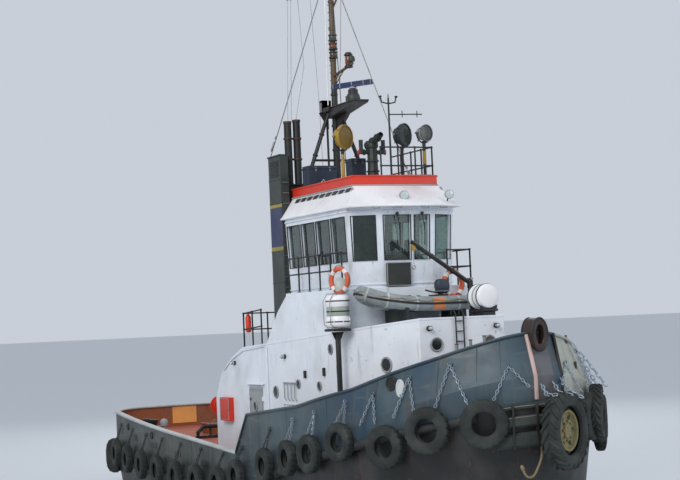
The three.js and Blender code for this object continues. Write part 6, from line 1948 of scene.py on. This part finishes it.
# reel on a spindle from the after wall of the house, and vent heads on the after deck
REEL_Y, REEL_Z, WALL_X = -1.72, 2.9, -4.0
gear.use("red").turned([(0.03, -0.2), (0.29, -0.2), (0.29, -0.17), (0.12, -0.16), (0.12, 0.16), (0.29, 0.17),
                        (0.29, 0.2), (0.03, 0.2)], (-4.35, REEL_Y, REEL_Z), (1, 0, 0), 32)
gear.use("black").rod((-4.62, REEL_Y, REEL_Z), (WALL_X, REEL_Y, REEL_Z), 0.032, sides=14)
for dz in (-0.26, 0.26):
    gear.use("black").rod((-4.14, REEL_Y, REEL_Z), (WALL_X, REEL_Y, REEL_Z + dz), 0.02, sides=8)
for x, y in ((-8.3, -2.3), (-8.3, 2.3), (-6.3, 2.55)):
    deck = lookup(DECK_Z, x)
    gear.use("grey").turned([(0.07, -0.02), (0.07, 0.5), (0.075, 0.52)], (x, y, deck), UP, 20)
    gear.turned([(0.12, 0.46), (0.13, 0.52), (0.13, 0.62), (0.09, 0.68), (0.02, 0.7)], (x, y, deck), UP, 24)
# windlass: gearbox and handwheel
LASS_X, LASS_Z = 9.4, 3.75
gear.use("grey").turned([(0.05, 0), (0.2, 0), (0.21, 0.03), (0.21, 0.18), (0.16, 0.22), (0.03, 0.23)],
                        (LASS_X, 0.625, LASS_Z), (0, 1, 0), 28)
gear.use("steel").bolts((LASS_X, 0.83, LASS_Z), (0, 1, 0), 0.12, 8, 0.013, 0.02)
gear.use("red").ring((LASS_X, -0.75, LASS_Z + 0.2), (0, 1, 0), 0.14, 0.014, 28, 8)
gear.use("steel").rod((LASS_X, -0.62, LASS_Z + 0.2), (LASS_X, -0.76, LASS_Z + 0.2), 0.018, sides=10)
spokes(gear, LASS_X, -0.75, LASS_Z + 0.2, 0.14, 0.009)
gear.done(sharp=40)

lass_rope = Piece("windlass_rope_wound", "rope", "steel")
wind(lass_rope, LASS_X, LASS_Z, 0.18, 0.41, 14, 0.029)
for way in (-1, 1):
    lass_rope.use("steel").ring((LASS_X, way * 0.465, LASS_Z), (0, 1, 0), 0.285, 0.015, 32, 8)
lass_rope.done(body="lass_drum", sharp=40)

lid = Piece("hatch_lid_fittings", "orange", "steel", "black")
for x in (-9.35, -8.85):
    lid.use("orange").slab(rect((x, -0.5, 2.07), (x + 0.03, 0.5, 2.07)), (0, 0, 0.022))
lid.use("steel").tube([(-9.5, -0.12, 2.07), (-9.5, -0.12, 2.13), (-9.5, 0.12, 2.13), (-9.5, 0.12, 2.07)],
                      0.012, 8)
for y in (-0.35, 0.35):
    lid.use("black").turned([(0.02, 0), (0.06, 0.0), (0.06, 0.02), (0.02, 0.03)], (-9.15, y, 2.07), UP, 18)
lid.done(body="hatch", sharp=40)

# Door leaves: dogs, handle, porthole and stiffening frame, riding with each door

for side, name in ((-1, "starboard"), (1, "port")):
    leaf = Piece("door_leaf_fittings_" + name, "grey", "steel", "glass_dark", "black", "white")
    y = side * 2.046
    leaf.use("grey").turned([(0.14, 0.0), (0.155, 0.012), (0.15, 0.03), (0.12, 0.03), (0.118, 0.008),
                             (0.01, 0.008)], (-0.6, y, 3.0), (0, side, 0), 28)
    leaf.use("glass_dark").turned([(0.117, 0.004), (0.117, 0.014), (0.01, 0.015)],
                                  (-0.6, y, 3.0), (0, side, 0), 28)
    leaf.use("grey").tube(rect((-1.04, y, 1.52), (-0.16, y, 3.48)), 0.016, 6, closed=True)
    leaf.tube([(-1.03, y, 2.3), (-0.17, y, 2.3)], 0.014, 6)
    for z in (1.75, 2.35, 3.2):
        leaf.use("steel").rod((-0.98, y, z), (-0.98, y + side * 0.035, z), 0.03, sides=14)
        leaf.tube([(-0.98, y + side * 0.03, z), (-0.86, y + side * 0.035, z + 0.05)], 0.014, 8)
    leaf.use("black").tube([(-0.92, y, 2.44), (-0.92, y + side * 0.05, 2.5), (-0.8, y + side * 0.055, 2.5)],
                           0.014, 8)
    leaf.done(body="door_%s_leaf" % name, sharp=40)

# Hull: weld seams of the shell plates, and pipe outlets

seams = Piece("hull_seams", "hull", "black", "steel")
for side in (-1, 1):
    for x in (3.3, 5.2, 7.4, 9.1, 10.6, 11.3, 11.62):
        low, high = lookup(KNUCKLE, x) + 0.02, lookup(RIM_FWD_Z, x) - 0.07
        seams.use("hull").tube([skin(x, low + (high - low) * k / 6, side, 0.001)[0] for k in range(7)],
                               0.004, 4)
    for x in (-9.3, -7.5, -5.7, -3.9, -2.1, -0.3):
        low, high = lookup(KNUCKLE, x) + 0.02, lookup(RIM_AFT_Z, x) - 0.07
        seams.use("hull").tube([skin(x, low, side, 0.001)[0], skin(x, high, side, 0.001)[0]], 0.004, 4)
    for x in (-7.2, -2.4, 1.4, 3.9):
        spot, normal = skin(x, lookup(KNUCKLE, x) + 0.32, side)
        seams.use("steel").turned([(0.05, -0.01), (0.05, 0.03), (0.035, 0.03), (0.033, -0.005)], spot,
                                  normal, 20, closed=True)
        seams.use("black").turned([(0.033, -0.006), (0.033, 0.004), (0.003, 0.004)], spot, normal, 20)
seams.done(sharp=50)

# CAD nodes that keep their own shape, with rounded edges and their paint

FINISHES = [
    # node, material, edge radius, body
    ("deckhouse_walls", "white", 0.012, BODY),
    ("deckhouse_top", "white", 0.012, BODY),
    ("tower", "white", 0.015, BODY),
    ("wheelhouse_walls", "white", 0.006, BODY),
    ("wheelhouse_roof", "bright", 0.012, BODY),
    ("roof_parapet", "red", 0.006, BODY),
    ("funnel", "funnel", 0.015, BODY),
    ("exhaust_casing", "black", 0.010, BODY),
    ("mast", "mast", 0.006, BODY),
    ("radar_scanner", "blue", 0.012, "radar"),
    ("roof_gear_stand", "black", 0.004, BODY),
    ("monitor_head", "green", 0.004, "monitor"),
    ("door_starboard", "grey", 0.006, "door_starboard_leaf"),
    ("door_port", "grey", 0.006, "door_port_leaf"),
    ("dinghy_cradle", "black", 0.006, BODY),
    ("davit_post", "black", 0.005, BODY),
    ("davit_boom", "black", 0.005, "davit"),
    ("engine_block", "steel", 0.020, BODY),
    ("tow_winch_frame", "black", 0.010, BODY),
    ("tow_winch_drum", "steel", 0.006, "tow_drum"),
    ("hook_pedestal", "black", 0.008, BODY),
    ("towing_hook", "brown", 0.012, "hook"),
    ("bitts_aft_starboard", "black", 0.008, BODY),
    ("bitts_aft_port", "black", 0.008, BODY),
    ("bow_bitts", "black", 0.008, BODY),
    ("hatch_coaming", "orange", 0.006, BODY),
    ("hatch_lid", "orange", 0.010, "hatch"),
    ("windlass_frame", "black", 0.010, BODY),
    ("windlass_drum", "steel", 0.006, "lass_drum"),
    ("propeller_starboard", "bronze", 0.004, "prop_starboard"),
    ("propeller_port", "bronze", 0.004, "prop_port"),
    ("rudder_port", "black", 0.006, "rudder_blade_port"),
    ("rudder_starboard", "black", 0.006, "rudder_blade_starboard"),
    ("stem_fairlead", "dark_brown", 0.030, BODY),
    ("roof_lockers", "blue_black", 0.012, BODY),
]
for node, material, radius, body in FINISHES:
    dressed(node, material, radius, body)

COATS = [
    # node, material
    ("wheelhouse_glazing", "glass"),
    ("stay_forward", "steel"),
    ("stay_starboard", "steel"),
    ("stay_port", "steel"),
]
for node, material in COATS:
    coat(node, material)

# Floor at the waterline, and soft light

bpy.context.scene.view_settings.view_transform = "Standard"

M["floor"] = paint("studio_floor", (0.62, 0.65, 0.68), 0.55, mottle=0.02, grime=0.0, bump=0.0)
floor = bpy.data.meshes.new("floor")
floor.from_pydata(rect((-900, -900, 0), (900, 900, 0)), [], [(0, 1, 2, 3)])
floor.materials.append(M["floor"])
floor_object = bpy.data.objects.new("floor", floor)
bpy.context.scene.collection.objects.link(floor_object)

world = bpy.data.worlds.new("studio")
world.use_nodes = True
world.node_tree.nodes["Background"].inputs[0].default_value = (0.80, 0.86, 0.95, 1)
world.node_tree.nodes["Background"].inputs[1].default_value = 0.72
bpy.context.scene.world = world

LIGHT_ROWS = [
    # name, place, size, power, colour
    ("key", (30, -34, 32), 22, 13000, (1.0, 0.97, 0.92)),
    ("fill", (34, 24, 16), 24, 2600, (0.90, 0.95, 1.0)),
    ("back", (-34, 18, 26), 24, 3500, (1.0, 1.0, 1.0)),
]
for name, place, size, power, color in LIGHT_ROWS:
    light = bpy.data.lights.new(name, "AREA")
    light.size = size
    light.energy = power
    light.color = color
    lamp = bpy.data.objects.new(name, light)
    lamp.location = place
    lamp.rotation_euler = (upward(3) - Vector(place)).to_track_quat("-Z", "Y").to_euler()
    bpy.context.scene.collection.objects.link(lamp)
